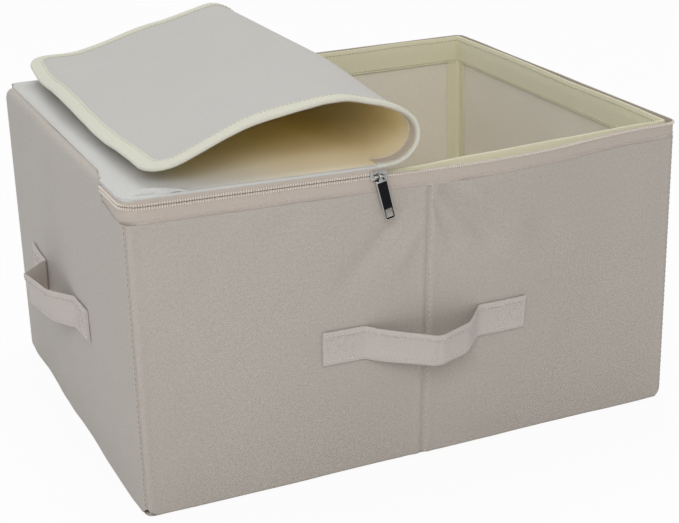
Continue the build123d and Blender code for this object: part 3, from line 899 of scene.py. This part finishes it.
def lidPoint(s, t, h):
    # s from the sewn side, t is y at rest, h from the outer face towards the lining
    if s < 24:
        # behind the zip's end the lid stops at the wall's roll
        s += 6.4 * rollShare(t) * (1 - s / 24)
    front = soften((-t - 40) / 150)
    if s <= lid["flat"]:
        x, z = -box["half"] + s, lid["top"] - h
        rim = min(t - lidEdge(s, -1), lidEdge(s, 1) - t, s + mix(1, -5.4, rollShare(t)))
        z += 1.3 * soften(rim / 10) - 1.6 * (1 - soften(rim / 4.5)) + 0.9 * soften(rim / 26)
        z += soften(rim / 30) * ripple(x, t, 3, 60, 1.8)
        fade = soften((lid["flat"] - s) / 40)
        z = mix(lid["top"] - h, z, fade) if fade < 1 else z
        z += fold(x, t, -236, -193, -198, -203, 3.2, 4.2) * fade
        return (x, t, z)
    turned = min((s - lid["flat"]) / lid["arc"], 1.0)
    a = math.radians(lid["turn"]) * turned
    r = lid["inside"] + h
    cz = lid["top"] + lid["inside"]
    x, z = lid["fold"] + r * math.sin(a), cz - r * math.cos(a)
    beyond = s - lid["flat"] - lid["arc"]
    if beyond > 0:
        x += math.cos(a) * beyond
        z += math.sin(a) * beyond
        share = beyond / lid["flap"]
        z -= 3.2 * math.sin(share * math.pi) * (0.5 + 0.5 * front)
        z += soften(share * 3) * (ripple(x, t, 9, 75, 3.0) + ripple(x, t, 14, 30, 0.7))
        z += 2.2 * soften(share * 1.6 - 0.5) * math.sin(t / 58 + 0.6)
        nearFront, nearBack = soften((-t - 120) / 80), soften((t - 130) / 70)
        z -= soften((share - 0.7) / 0.3) * (2.5 * nearFront - 7 * nearBack)
        x -= 4.0 * soften(share * 1.5 - 0.5) * math.cos(t / 190 * math.pi / 2)
    z += front * through(lid["billow"], beyond / lid["flap"])
    return (x, t, z)


def flapEdge(s, way):
    # the edge with its round far corners
    left = lid["length"] - s
    edge = lidEdge(s, way)
    if left < lid["corner"]:
        over = lid["corner"] - left
        edge -= way * (lid["corner"] - math.sqrt(max(lid["corner"] ** 2 - over * over, 0)))
    return edge


bands = [("lidFlat", 0.0, lid["flat"], "lid", None)]
chain = ["lid", "bend_1", "bend_2", "bend_3", "flap"]
for number in range(lid["hinges"]):
    bands.append((
        f"lidTurn{number + 1}",
        lid["flat"] + lid["arc"] * number / lid["hinges"],
        lid["flat"] + lid["arc"] * (number + 1) / lid["hinges"],
        chain[number],
        chain[number + 1],
    ))
bands.append(("lidFlap", lid["flat"] + lid["arc"], lid["length"], "flap", None))
standsFor = {
    "lidFlat": ["lid_cloth", "lid_lining"],
    "lidTurn1": [],
    "lidTurn2": ["bend_cloth_1"],
    "lidTurn3": ["bend_cloth_2"],
    "lidTurn4": ["bend_cloth_3"],
    "lidFlap": ["flap_cloth", "flap_lining"],
}


def dressBand(piece, band, slot, nodes=()):
    # a flat band rides its body; a band in the turn has its place baked in and rides no body
    name, s0, s1, first, second = band
    if second is None:
        return dress(piece, first, slot, *nodes)
    if nodes:
        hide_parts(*nodes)
    ends = [Vector(lidPoint(mix(s0, s1, share), 0, lid["thick"])) * mm for share in (0.06, 0.94)]
    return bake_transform(piece)


def makeLidCloth(band):
    name, s0, s1 = band[:3]
    if name == "lidFlap":
        upward = spread(s0, s1, 3.6, (s1 - 31, 12, 2.4), (s1 - 19, 12, 1.6), (s1 - 7, 9, 0.7))
    elif name == "lidFlat":
        upward = spread(s0, s1, 3.6, (0, 16, 1.2))
    else:
        upward = [mix(s0, s1, i / 12) for i in range(13)]
    across = [i / 112 for i in range(113)]
    ends = [0.4 * i / 112 for i in range(6)]
    across = sorted(set(across + ends + [1 - e for e in ends]))

    def depthAt(v, s):
        return mix(flapEdge(s, -1), flapEdge(s, 1), v)

    def point(v, s, h):
        return lidPoint(s, depthAt(v, s), h)

    # how strongly the painted warm shade shows: inside the turn and the near part of the flap
    def loopShadeMask(v, s):
        return soften((s - lid["flat"] + 160) / 130) * soften((lid["length"] - s) / 60 + 0.35)

    verts = [Vector(point(v, s, h)) * mm for h in (0, lid["thick"]) for s in upward for v in across]
    columns, rows = len(across), len(upward)
    count = columns * rows
    mesh = bpy.data.meshes.new(name)
    faces, paints = [], []
    for j in range(rows - 1):
        for i in range(columns - 1):
            k = j * columns + i
            quad = (k, k + columns, k + columns + 1, k + 1)
            faces += [quad, tuple(count + corner for corner in (quad[0], quad[3], quad[2], quad[1]))]
            paints += [0, 1]
    # once round the outline, to close the two faces
    edge = [j * columns for j in range(rows)]
    edge += [(rows - 1) * columns + i for i in range(1, columns)]
    edge += [j * columns + columns - 1 for j in range(rows - 2, -1, -1)]
    edge += list(range(columns - 2, 0, -1))
    for i, k in enumerate(edge):
        after = edge[(i + 1) % len(edge)]
        faces.append((k, count + k, count + after, after))
        paints.append(0)
    mesh.from_pydata(verts, [], faces)
    uv = mesh.uv_layers.new(name="cloth")
    flat = [(s * mm, depthAt(v, s) * mm) for s in upward for v in across]
    for loop in mesh.loops:
        uv.data[loop.index].uv = flat[loop.vertex_index % count]
    # mask of the painted warm shade, kept as the turn attribute
    shadeMark = mesh.attributes.new("turn", "FLOAT", "POINT")
    shadeMark.data.foreach_set("value", [loopShadeMask(v, s) for s in upward for v in across] * 2)
    piece = keepMesh(name, mesh, [lidTopCloth, lidUnderCloth], 60)
    mesh.polygons.foreach_set("material_index", paints)
    build = bmesh.new()
    build.from_mesh(mesh)
    bmesh.ops.remove_doubles(build, verts=build.verts, dist=1e-6)
    bmesh.ops.recalc_face_normals(build, faces=build.faces)
    build.to_mesh(mesh)
    build.free()
    return dressBand(piece, band, "outer_cloth", standsFor[name])


lidPieces = {band[0]: makeLidCloth(band) for band in bands}


def edgePath(band, step=3.0):
    # the free edges of a band as (s, t, inward s, inward t) lines
    name, s0, s1 = band[:3]
    if name == "lidFlat":
        s0 = 16
    if name == "lidTurn1":
        s0 -= 9
    if name != "lidFlap":
        count = max(4, int((s1 - s0) / step))
        stops = [mix(s0, s1, i / count) for i in range(count + 1)]
        return [[(s, lidEdge(s, way), 0.0, -way) for s in stops] for way in (-1, 1)]
    line, r = [], lid["corner"]
    count = int((s1 - s0 - r) / step)
    for i in range(count):
        s = mix(s0, s1 - r, i / count)
        line.append((s, lidEdge(s, -1), 0.0, 1.0))
    for i in range(16):
        a = math.radians(90 * i / 16)
        s = s1 - r + r * math.sin(a)
        line.append((s, lidEdge(s, -1) + r - r * math.cos(a), -math.sin(a), math.cos(a)))
    low, high = lidEdge(s1, -1) + r, lidEdge(s1, 1) - r
    count = int((high - low) / step)
    line += [(s1, mix(low, high, i / count), -1.0, 0.0) for i in range(count)]
    for i in range(16):
        a = math.radians(90 * i / 16)
        s = s1 - r + r * math.cos(a)
        line.append((s, lidEdge(s, 1) - r + r * math.sin(a), -math.cos(a), -math.sin(a)))
    count = int((s1 - s0 - r) / step)
    for i in range(count + 1):
        s = mix(s1 - r, s0, i / count)
        line.append((s, lidEdge(s, 1), 0.0, -1.0))
    return [line]


def edgeStation(spot):
    s, t, inS, inT = spot

    def station(a, b):
        limit = lid["length"] + 3
        return lidPoint(min(s + inS * a, limit), t + inT * a, b)

    return station


w = lid["binding"]
bindingSection = [
    (w, 1.85), (w, 2.5), (w * 0.6, 2.75), (1.0, 2.7), (-0.5, 2.2), (-1.0, 1.2), (-1.0, 0.4), (-0.5, -0.5),
    (1.0, -0.9), (w * 0.6, -0.9), (w - 1, -0.7), (w - 1, -0.05), (0.1, -0.05), (0.05, 0.9), (0.1, 1.85),
]
underSection = [(w, 1.85), (w, 2.5), (w * 0.5, 2.6), (2.2, 2.5), (2.2, 1.85)]
tapeOnLid = [(1.5, -0.95), (7, -0.95), (w + 0.5, -0.85), (w + 0.5, -1.6), (7, -1.75), (1.5, -1.75)]
bindingNodes = {"lidFlat": ["lid_binding"], "lidTurn2": ["bend_binding_1"], "lidTurn3": ["bend_binding_2"],
                "lidTurn4": ["bend_binding_3"], "lidFlap": ["flap_binding"]}
tapeNodes = {"lidTurn2": ["bend_zip_1"], "lidTurn3": ["bend_zip_2"], "lidTurn4": ["bend_zip_3"],
             "lidFlap": ["flap_zip_tape"]}
bindingStitch = dict(stitch, Pitch=3.6, Length=2.5, Width=0.9)
for band in bands:
    name = band[0]
    paths = edgePath(band, 3.0 if band[4] is None else 2.0)
    section = underSection if name == "lidFlat" else bindingSection
    strips = [sweep("strip", [edgeStation(spot) for spot in path], section, creamTape) for path in paths]
    dressBand(join(name + "Binding", strips), band, "binding", bindingNodes.get(name, []))
    sewn = []
    for path in paths:
        sides = [(spot[2], 0, 0) if abs(spot[2]) > 0.7 else (0, 1, 0) for spot in path]
        sewn.append([(edgeStation(spot)(w - 1.8, 2.65), side) for spot, side in zip(path, sides)])
    dressBand(repeat(name + "Stitches", sewn, creamThread, bindingStitch), band, "binding")
    if name == "lidFlat":
        continue
    strips = [sweep("strip", [edgeStation(spot) for spot in path], tapeOnLid, zipCloth) for path in paths]
    dressBand(join(name + "Tape", strips), band, "zip_tape", tapeNodes.get(name, []))
    lines = []
    for path in paths:
        line = []
        for spot in path:
            station = edgeStation(spot)
            here, inward = (Vector(station(w + reach, -1.6)) for reach in (0.6, 1.6))
            line.append((here, (inward - here).normalized()))
        lines.append(line)
    nodes = ["flap_zip_teeth"] if name == "lidFlap" else []
    dressBand(repeat(name + "Teeth", lines, coilNylon, tooth), band, "zip_teeth", nodes)


def makeLidWelt():
    # puffed edge of the lid above the zip
    path = ringPath(zipper["radius"])
    halfway = len(path) // 2
    ring = [math.pi * 2 * k / 10 for k in range(10)]
    section = [(-1.5 + 1.9 * math.cos(t), 272.3 + 1.5 * math.sin(t)) for t in ring]
    parts = []
    for keep in (lambda i: i < halfway, lambda i: i > halfway):
        part = [s for i, s in enumerate(path) if keep(i) and s[0] < zipper["end"] - 2]
        parts.append(sweep("welt", [ringStation(s) for s in part], section, lidTopCloth))
    return dress(join("lidWelt", parts), "lid", "outer_cloth")


makeLidWelt()


def makePucker():
    # a small lens of slack cloth where the lid's corner was eased into the seam
    pucker = dict(start=-238.0, end=-200.0, high=2.8, deep=3.4)
    stations = []
    for i in range(25):
        share = i / 24
        x = mix(pucker["start"], pucker["end"], share)
        grow = math.sin(math.pi * min(max(share, 0.02), 0.98)) ** 0.8

        def station(a, b, x=x, grow=grow, share=share):
            y = -box["back"] - bowAt(x) + 4.6 + 1.5 * share
            return (x, y - 0.6 - a * pucker["deep"] * grow, lid["top"] + 0.9 + b * pucker["high"] * grow)

        stations.append(station)
    ring = [(math.cos(math.pi * 2 * k / 12), math.sin(math.pi * 2 * k / 12)) for k in range(12)]
    return dress(sweep("lidPucker", stations, ring, lidTopCloth), "lid", "outer_cloth")


makePucker()
print("lid made")


inner = dict(inset=6.1, side=5.2, cloth=0.8, low=4.9, rimLow=238.0, rimTop=266.0, tapeWidth=14.0)


def innerPoint(side, a, z, lift=0.0):
    # on the lining's inner face, a is along the wall
    inset = inner["inset"] - 0.2 + lift
    wave = ripple(a, 50 + len(side), z, 60, 0.9) * soften((235 - z) / 60)
    if side == "front":
        return (a, -frontOut(a, z) - box["back"] + inset, z)
    if side == "back":
        return (a, box["back"] - inset + wave, z)
    x = box["half"] - inset + wave
    return (-x if side == "left" else x, a, z)


def makeLining(side, half):
    reach = half - inner["side"]
    across = spread(-reach, reach, 6.0, (0, 8, 2.0))
    upward = spread(1.2, 251, 6)

    def point(a, z):
        return innerPoint(side, a, z)

    flip = side in ("front", "right")
    lining = panel(f"{side}Lining", point, across, upward, inner["cloth"], liningCloth, flip)
    dress(lining, "box", "lining", f"{side}_lining")


for side, half in wallHalves.items():
    makeLining(side, half)


def makeRim():
    # cream band over the mouth's edge: inside face, round the top, and a little way down outside
    outline = ringPath(12.0, step=5.0, closed=True)
    top, low = inner["rimTop"], inner["rimLow"]
    section = [(-7.9, low), (-7.9, 252), (-7.9, top - 1), (-7.4, top), (-6.4, top), (-5.7, top - 1),
               (-5.6, 252.5), (-6.9, 252.2), (-6.95, low)]

    def station(spot):
        x, y, nx, ny = spot

        def place(a, b):
            # the band hangs on the lining and is free above it
            free = soften((b - low) / 20)
            straight = 18 * (1 - abs(x) / box["half"])
            bow = mix(frontOut(x, min(b, 250)), straight - 2.0, free) if ny < -0.3 else 0.0
            wave = ripple(x, y, b, 50, 0.7) * free
            rise = ripple(x, y, 77, 70, 1.2) * soften((b - 250) / 10)
            return (x + nx * (a + wave), y + ny * (a + wave) - bow, b + rise)

        return place

    rim = sweep("rimBand", [station(s) for s in outline], section, rimTape, ring=True)
    dress(rim, "box", "binding", "rim_binding")
    loop = outline + [outline[0]]
    lines = [[(station(s)(-8.05, z), (0, 0, 1)) for s in loop] for z in (low + 2.2, top - 4)]
    dress(repeat("rimStitches", lines, creamThread, dict(stitch, Pitch=3.8)), "box", "binding")


makeRim()


def makeCornerTapes():
    strips = []
    for sx in (-1, 1):
        for sy in (-1, 1):
            x, y = box["half"] - inner["inset"] - 0.1, box["back"] - inner["inset"] - 0.1
            w = inner["tapeWidth"]
            section = [(0, 0), (0, -w), (-0.7, -w), (-0.8, -4), (-2.6, -2.6), (-4, -0.8), (-w, -0.7), (-w, 0)]
            stations = []
            for z in spread(inner["low"] + 0.3, inner["rimLow"], 12):

                def station(a, b, z=z, sx=sx, sy=sy):
                    bow = frontOut(sx * (x + a), z) if sy < 0 else 0
                    return (sx * (x + a), sy * (y + b) - bow, z)

                stations.append(station)
            strips.append(sweep("strip", stations, section, rimTape))
    dress(join("cornerTapes", strips), "box", "binding", "corner_tapes")


makeCornerTapes()


def makeBaseCover():
    w, d = box["half"] - inner["inset"] - 1.2, box["back"] - inner["inset"] - 1.2

    def point(a, b):
        edge = min(w - abs(a), d - abs(b))
        z = inner["low"] - 1.2 * (1 - soften(edge / 2.5)) + 0.15 * soften(edge / 8)
        return (a, b, z + ripple(a, b, 8, 70, 0.25))

    across, upward = (spread(-e, e, 9, (-e, 4, 0.8), (e - 4, 5, 0.8)) for e in (w, d))
    cover = panel("baseCover", point, across, upward, inner["cloth"], liningCloth)
    dress(cover, "box", "lining", "base_board_cover")


makeBaseCover()
print("inside made")


strap = dict(
    width=30.0,
    thick=2.2,
    reach=93.5,
    pad=30.0,
    freeLeft=60.0,
    freeRight=50.0,
    z=121.0,
    sew=4.0,
    gripHalf=26.75,
    # how each loop hangs: reach outwards, place of the kink, sag and rise
    front=dict(out=23.5, kink=0.0, droop=10.0, rise=0.0),
    left=dict(out=23.5, kink=-19.0, droop=0.5, rise=6.0, shift=-11.0, free=(43.0, 60.0)),
    right=dict(out=25.5, kink=0.0, droop=10.0, rise=0.0),
)


def strapPoint(side, a, across, depth):
    # a along the strap, across its width (up), depth out of the wall
    hang = strap[side]
    before = a < hang["kink"]
    left, right = hang.get("free", (strap["freeLeft"], strap["freeRight"]))
    free = left + hang["kink"] if before else right - hang["kink"]
    share = max(1 - abs(a - hang["kink"]) / free, 0)
    lift = share * soften(share * 4 + 0.1) if before else soften(share * 2.2 + 0.05) * 0.45 + 0.55 * share
    lift *= soften(share * 9)
    tilt = lift * 0.14 * across
    z = strap["z"] + hang["rise"] + across - hang["droop"] * lift
    z += ripple(a, 60, across, 30, 0.5) * min(lift * 2, 1)
    return wallPoint(side, a + hang.get("shift", 0), z, 0.35 + depth + hang["out"] * lift + tilt)


def strapSection():
    w, t = strap["width"] / 2, strap["thick"]
    edge = [(-w, t * 0.3), (-w, t * 0.75), (-w + 0.8, t), (-w + 3.4, t * 1.08), (-w + 5, t * 0.86)]
    mirrored = [(-a, b) for a, b in reversed(edge)]
    return edge + [(0, t * 0.82)] + mirrored + [(w - 1, 0.0), (0, 0.12), (-w + 1, 0.0)]


strapStitch = dict(stitch, Pitch=3.4, Length=2.4, Width=0.9, Height=0.8)


def makeHandle(side):
    sewStops = spread(0.5, strap["reach"] - 4, 3)
    for way, tag in ((-1, "A"), (1, "B")):
        stops = spread(0.0, strap["reach"], 2.2, (strap["reach"] - 3, 4, 0.8))
        stations = [(lambda a: lambda u, d: strapPoint(side, way * a, u, d))(a) for a in stops]
        piece = sweep(f"{side}Strap{tag}", stations, strapSection(), strapCloth)
        inset = strap["width"] / 2 - strap["sew"]
        lines = []
        for across in (inset, inset - 1.6, -inset):
            seat = strap["thick"] + 0.12
            lines.append([(strapPoint(side, way * a, across, seat), (0, 0, 1)) for a in sewStops])
        far, near = strap["reach"] - strap["sew"], strap["reach"] - strap["pad"] + strap["sew"]
        corners = [(near, -inset), (far, -inset), (far, inset), (near, inset)]
        runs = list(zip(corners, corners[1:] + corners[:1]))
        runs += [(corners[0], corners[2]), (corners[1], corners[3])]
        for (a0, c0), (a1, c1) in runs:
            line = []
            for i in range(9):
                a, c = mix(a0, a1, i / 8), mix(c0, c1, i / 8)
                line.append((strapPoint(side, way * a, c, strap["thick"] * 0.95 + 0.1), (0, 0, 1)))
            lines.append(line)
        sewn = repeat(f"{side}StrapStitches{tag}", lines, taupeThread, strapStitch)
        stops = (strap["reach"] - strap["pad"], strap["gripHalf"] * 0.8)
        ends = [Vector(strapPoint(side, way * a, 0, 0)) * mm for a in stops]
        for item in (piece, sewn):
            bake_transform(item)
    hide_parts(f"{side}_handle_ends", f"{side}_handle_grip")


for side in ("front", "left", "right"):
    makeHandle(side)
print("handles made")


slider = dict(
    x=-44.5,
    z=265.5,
    length=15.0,
    width=9.8,
    plate=1.6,
    low=1.4,
    bail=5.7,
    tilt=13.0,
    pull=35.5,
    pullWidth=9.6,
    thick=1.7,
)


def flatPiece(name, outlines, low, high, bevel, frameMatrix, metal=None):
    # a plate cut to outlines, with eased edges
    curve = bpy.data.curves.new(name, "CURVE")
    curve.dimensions = "2D"
    curve.fill_mode = "BOTH"
    curve.extrude = ((high - low) / 2 - bevel) * mm
    curve.bevel_depth = bevel * mm
    curve.bevel_resolution = 2
    curve.offset = -bevel * mm
    for outline in outlines:
        spline = curve.splines.new("POLY")
        spline.points.add(len(outline) - 1)
        for point, (x, y) in zip(spline.points, outline):
            point.co = (x * mm, y * mm, 0, 1)
        spline.use_cyclic_u = True
    temp = bpy.data.objects.new(name, curve)
    bpy.context.scene.collection.objects.link(temp)
    bpy.context.view_layer.update()
    mesh = bpy.data.meshes.new_from_object(temp.evaluated_get(bpy.context.evaluated_depsgraph_get()))
    bpy.data.objects.remove(temp)
    mesh.transform(frameMatrix @ Matrix.Translation((0, 0, (low + high) / 2 * mm)))
    build = bmesh.new()
    build.from_mesh(mesh)
    bmesh.ops.remove_doubles(build, verts=build.verts, dist=1e-6)
    bmesh.ops.recalc_face_normals(build, faces=build.faces)
    build.to_mesh(mesh)
    build.free()
    mesh.materials.clear()
    return keepMesh(name, mesh, [metal or nickel], 40)


def roundedBox(w, h, r, cx=0.0, cy=0.0, taper=0.0):
    points = []
    for qx, qy, start in ((1, 1, 0), (-1, 1, 90), (-1, -1, 180), (1, -1, 270)):
        for k in range(5):
            a = math.radians(start + 22.5 * k)
            px, py = qx * (w / 2 - r) + r * math.cos(a), qy * (h / 2 - r) + r * math.sin(a)
            points.append((cx + px * (1 - taper * py / h), cy + py))
    return points


def bar(name, path, radius, frameMatrix):
    # round wire through points
    curve = bpy.data.curves.new(name, "CURVE")
    curve.dimensions = "3D"
    curve.bevel_depth = radius * mm
    curve.bevel_resolution = 3
    curve.use_fill_caps = True
    spline = curve.splines.new("NURBS")
    spline.points.add(len(path) - 1)
    for point, (x, y, z) in zip(spline.points, path):
        point.co = (x * mm, y * mm, z * mm, 1)
    spline.order_u = 3
    spline.use_endpoint_u = True
    spline.resolution_u = 6
    temp = bpy.data.objects.new(name, curve)
    bpy.context.scene.collection.objects.link(temp)
    bpy.context.view_layer.update()
    mesh = bpy.data.meshes.new_from_object(temp.evaluated_get(bpy.context.evaluated_depsgraph_get()))
    bpy.data.objects.remove(temp)
    mesh.transform(frameMatrix)
    mesh.materials.clear()
    return keepMesh(name, mesh, [nickel], 40)


def makeSlider(end):
    # local x along the zip, y up, z outward
    if end == "front":
        angle = math.atan2(18, box["half"])
        y = 1.0 - box["back"] - 18 * (1 + slider["x"] / box["half"])
        xAxis = Vector((math.cos(angle), -math.sin(angle), 0))
        zAxis = Vector((-math.sin(angle), -math.cos(angle), 0))
    else:
        y = box["back"] - 1.0
        xAxis, zAxis = Vector((-1, 0, 0)), Vector((0, 1, 0))
    yAxis = Vector((0, 0, 1))
    place = Matrix((xAxis, yAxis, zAxis)).transposed().to_4x4()
    place.translation = Vector((slider["x"], y, slider["z"])) * mm
    s = slider
    high = s["low"] + s["plate"]
    mouth = 1 if end == "front" else -1
    body = []
    shield = roundedBox(s["length"], s["width"], 3.2)
    shield = [(x, y * (1 - 0.12 * soften(-mouth * x / 7))) for x, y in shield]
    body.append(flatPiece("plate", [shield], s["low"], high, 0.35, place))
    body.append(flatPiece("plate", [shield], -high, -s["low"], 0.35, place))
    post = roundedBox(3.6, 0.5, 0.2, cx=mouth * 5.0)
    lip = roundedBox(s["length"] * 0.5, 0.8, 0.3, cy=-4.4)
    body.append(flatPiece("post", [post], -s["low"] - 0.4, s["low"] + 0.4, 0.05, place))
    body.append(flatPiece("lip", [lip], 0.9, s["low"] + 0.5, 0.1, place))
    body.append(flatPiece("lip", [lip], -s["low"] - 0.5, -0.9, 0.1, place))
    leg = [(-5.4, 0, high - 0.7), (-5.2, 0, s["bail"] - 0.9), (-3.2, 0, s["bail"] + 0.35)]
    wire = leg + [(0, 0, s["bail"])] + [(-x, y, z) for x, y, z in reversed(leg)]
    body.append(bar("bail", wire, 0.8, place))
    dress(join(f"{end}SliderBody", body), f"{end}_slider", "zip_metal", f"{end}_slider", f"{end}_slider_bail")
    tilt = math.radians(s["tilt"])
    hang = place @ Matrix.Translation((0, 0, s["bail"] * mm)) @ Matrix.Rotation(tilt, 4, "Z")
    w, length = s["pullWidth"], s["pull"]
    middle = -length / 2 - 2.6
    tab = roundedBox(w, length - 1.6, 1.3, cy=middle, taper=-0.12)
    window = roundedBox(w * 0.66, w * 0.9, 0.8, cy=-length + 3.4)
    face = roundedBox(w * 0.82, length - 4.2, 0.8, cy=middle, taper=-0.12)
    pull = [flatPiece("tab", [tab, window], -s["thick"] / 2, s["thick"] / 2, 0.3, hang)]
    for way in (-1, 1):
        near = way * s["thick"] / 2
        low, high = min(near - 0.15, near + 0.15 * way), max(near + 0.15, near + 0.15 * way)
        pull.append(flatPiece("face", [face, window], low, high, 0.05, hang, blackNickel))
    pull.append(flatPiece("neck", [roundedBox(w * 0.34, 3.4, 0.4, cy=-3.4)], -0.6, 0.6, 0.2, hang))
    turns = [math.pi * 2 * k / 16 for k in range(16)]

    def ringStop(t):
        # once round the bail
        def station(a, b):
            spot = Vector((a, (2.0 + b) * math.cos(t), (2.0 + b) * math.sin(t))) * mm
            return tuple(v / mm for v in hang @ spot)

        return station

    section = [(0.8 * math.cos(t), 0.45 * math.sin(t)) for t in turns[::2]]
    pull.append(sweep("ring", [ringStop(t) for t in turns], section, nickel, ring=True))
    dress(join(f"{end}PullTab", pull), f"{end}_pull", "zip_metal", f"{end}_pull")


makeSlider("front")
makeSlider("back")
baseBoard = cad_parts["base_board"]
baseBoard.data.materials.clear()
baseBoard.data.materials.append(greyBoard)
print("sliders made")


def makeStage():
    size = 12.0
    mesh = bpy.data.meshes.new("floor")
    corners = [(x * size, y * size, -0.0004) for x, y in ((-1, -1), (1, -1), (1, 1), (-1, 1))]
    mesh.from_pydata(corners, [], [(0, 1, 2, 3)])
    floor = bpy.data.objects.new("floor", mesh)
    bpy.context.scene.collection.objects.link(floor)
    material = bpy.data.materials.new("paleFloor")
    material.use_nodes = True
    tree = material.node_tree
    shader = tree.nodes["Principled BSDF"]
    shader.inputs["Base Color"].default_value = tone(236, 236, 236)
    shader.inputs["Roughness"].default_value = 0.9
    glow = tree.nodes.new("ShaderNodeEmission")
    glow.inputs["Strength"].default_value = 1.0
    path = tree.nodes.new("ShaderNodeLightPath")
    share = calc(tree, "MULTIPLY", path.outputs["Is Camera Ray"], 0.93)
    both = tree.nodes.new("ShaderNodeMixShader")
    tree.links.new(share, both.inputs[0])
    tree.links.new(shader.outputs[0], both.inputs[1])
    tree.links.new(glow.outputs[0], both.inputs[2])
    tree.links.new(both.outputs[0], tree.nodes["Material Output"].inputs["Surface"])
    mesh.materials.append(material)


def makeLight(name, place, aim, size, power, colour):
    lamp = bpy.data.lights.new(name, "AREA")
    lamp.shape = "DISK"
    lamp.size = size
    lamp.energy = power
    lamp.color = colour
    light = bpy.data.objects.new(name, lamp)
    light.location = place
    light.rotation_euler = (Vector(aim) - Vector(place)).to_track_quat("-Z", "Y").to_euler()
    bpy.context.scene.collection.objects.link(light)


def makeWorld():
    world = bpy.data.worlds.new("studio")
    bpy.context.scene.world = world
    world.use_nodes = True
    tree = world.node_tree
    back = tree.nodes["Background"]
    back.inputs["Color"].default_value = (0.93, 0.96, 1.0, 1)
    back.inputs["Strength"].default_value = 0.5
    white = tree.nodes.new("ShaderNodeBackground")
    white.inputs["Color"].default_value = (1, 1, 1, 1)
    white.inputs["Strength"].default_value = 1.0
    path = tree.nodes.new("ShaderNodeLightPath")
    either = calc(tree, "MAXIMUM", path.outputs["Is Camera Ray"], path.outputs["Is Glossy Ray"])
    both = tree.nodes.new("ShaderNodeMixShader")
    tree.links.new(either, both.inputs[0])
    tree.links.new(back.outputs[0], both.inputs[1])
    tree.links.new(white.outputs[0], both.inputs[2])
    tree.links.new(both.outputs[0], tree.nodes["World Output"].inputs["Surface"])


camera = dict(azimuth=-23.53, elevation=20.99, roll=-1.56, place=(-536.0, -1260.5, 637.0), lens=81.3)


def makeCamera():
    az, el, roll = (math.radians(camera[k]) for k in ("azimuth", "elevation", "roll"))
    ahead = Vector((-math.sin(az) * math.cos(el), math.cos(az) * math.cos(el), -math.sin(el)))
    right = Vector((math.cos(az), math.sin(az), 0))
    up = right.cross(ahead)
    x = math.cos(roll) * right + math.sin(roll) * up
    y = -math.sin(roll) * right + math.cos(roll) * up
    data = bpy.data.cameras.new("camera")
    data.lens = camera["lens"]
    data.sensor_width = 36.0
    view = bpy.data.objects.new("camera", data)
    turned = Matrix((x, y, -ahead)).transposed().to_4x4()
    turned.translation = Vector(camera["place"]) * mm
    view.matrix_world = turned
    bpy.context.scene.collection.objects.link(view)
    bpy.context.scene.camera = view


makeStage()
makeWorld()
makeLight("key", (-1.0, -1.9, 1.7), (0, 0, 0.15), 1.4, 23.5, (1.0, 0.985, 0.97))
makeLight("fill", (-2.8, -0.8, 1.6), (0, 0, 0.15), 2.2, 5.5, (0.6, 0.87, 1.0))
makeLight("top", (0.2, 0.9, 3.0), (0, 0, 0.1), 2.0, 30.0, (1.0, 1.0, 0.98))
makeCamera()
bpy.context.scene.view_settings.view_transform = "Standard"
print("stage made")
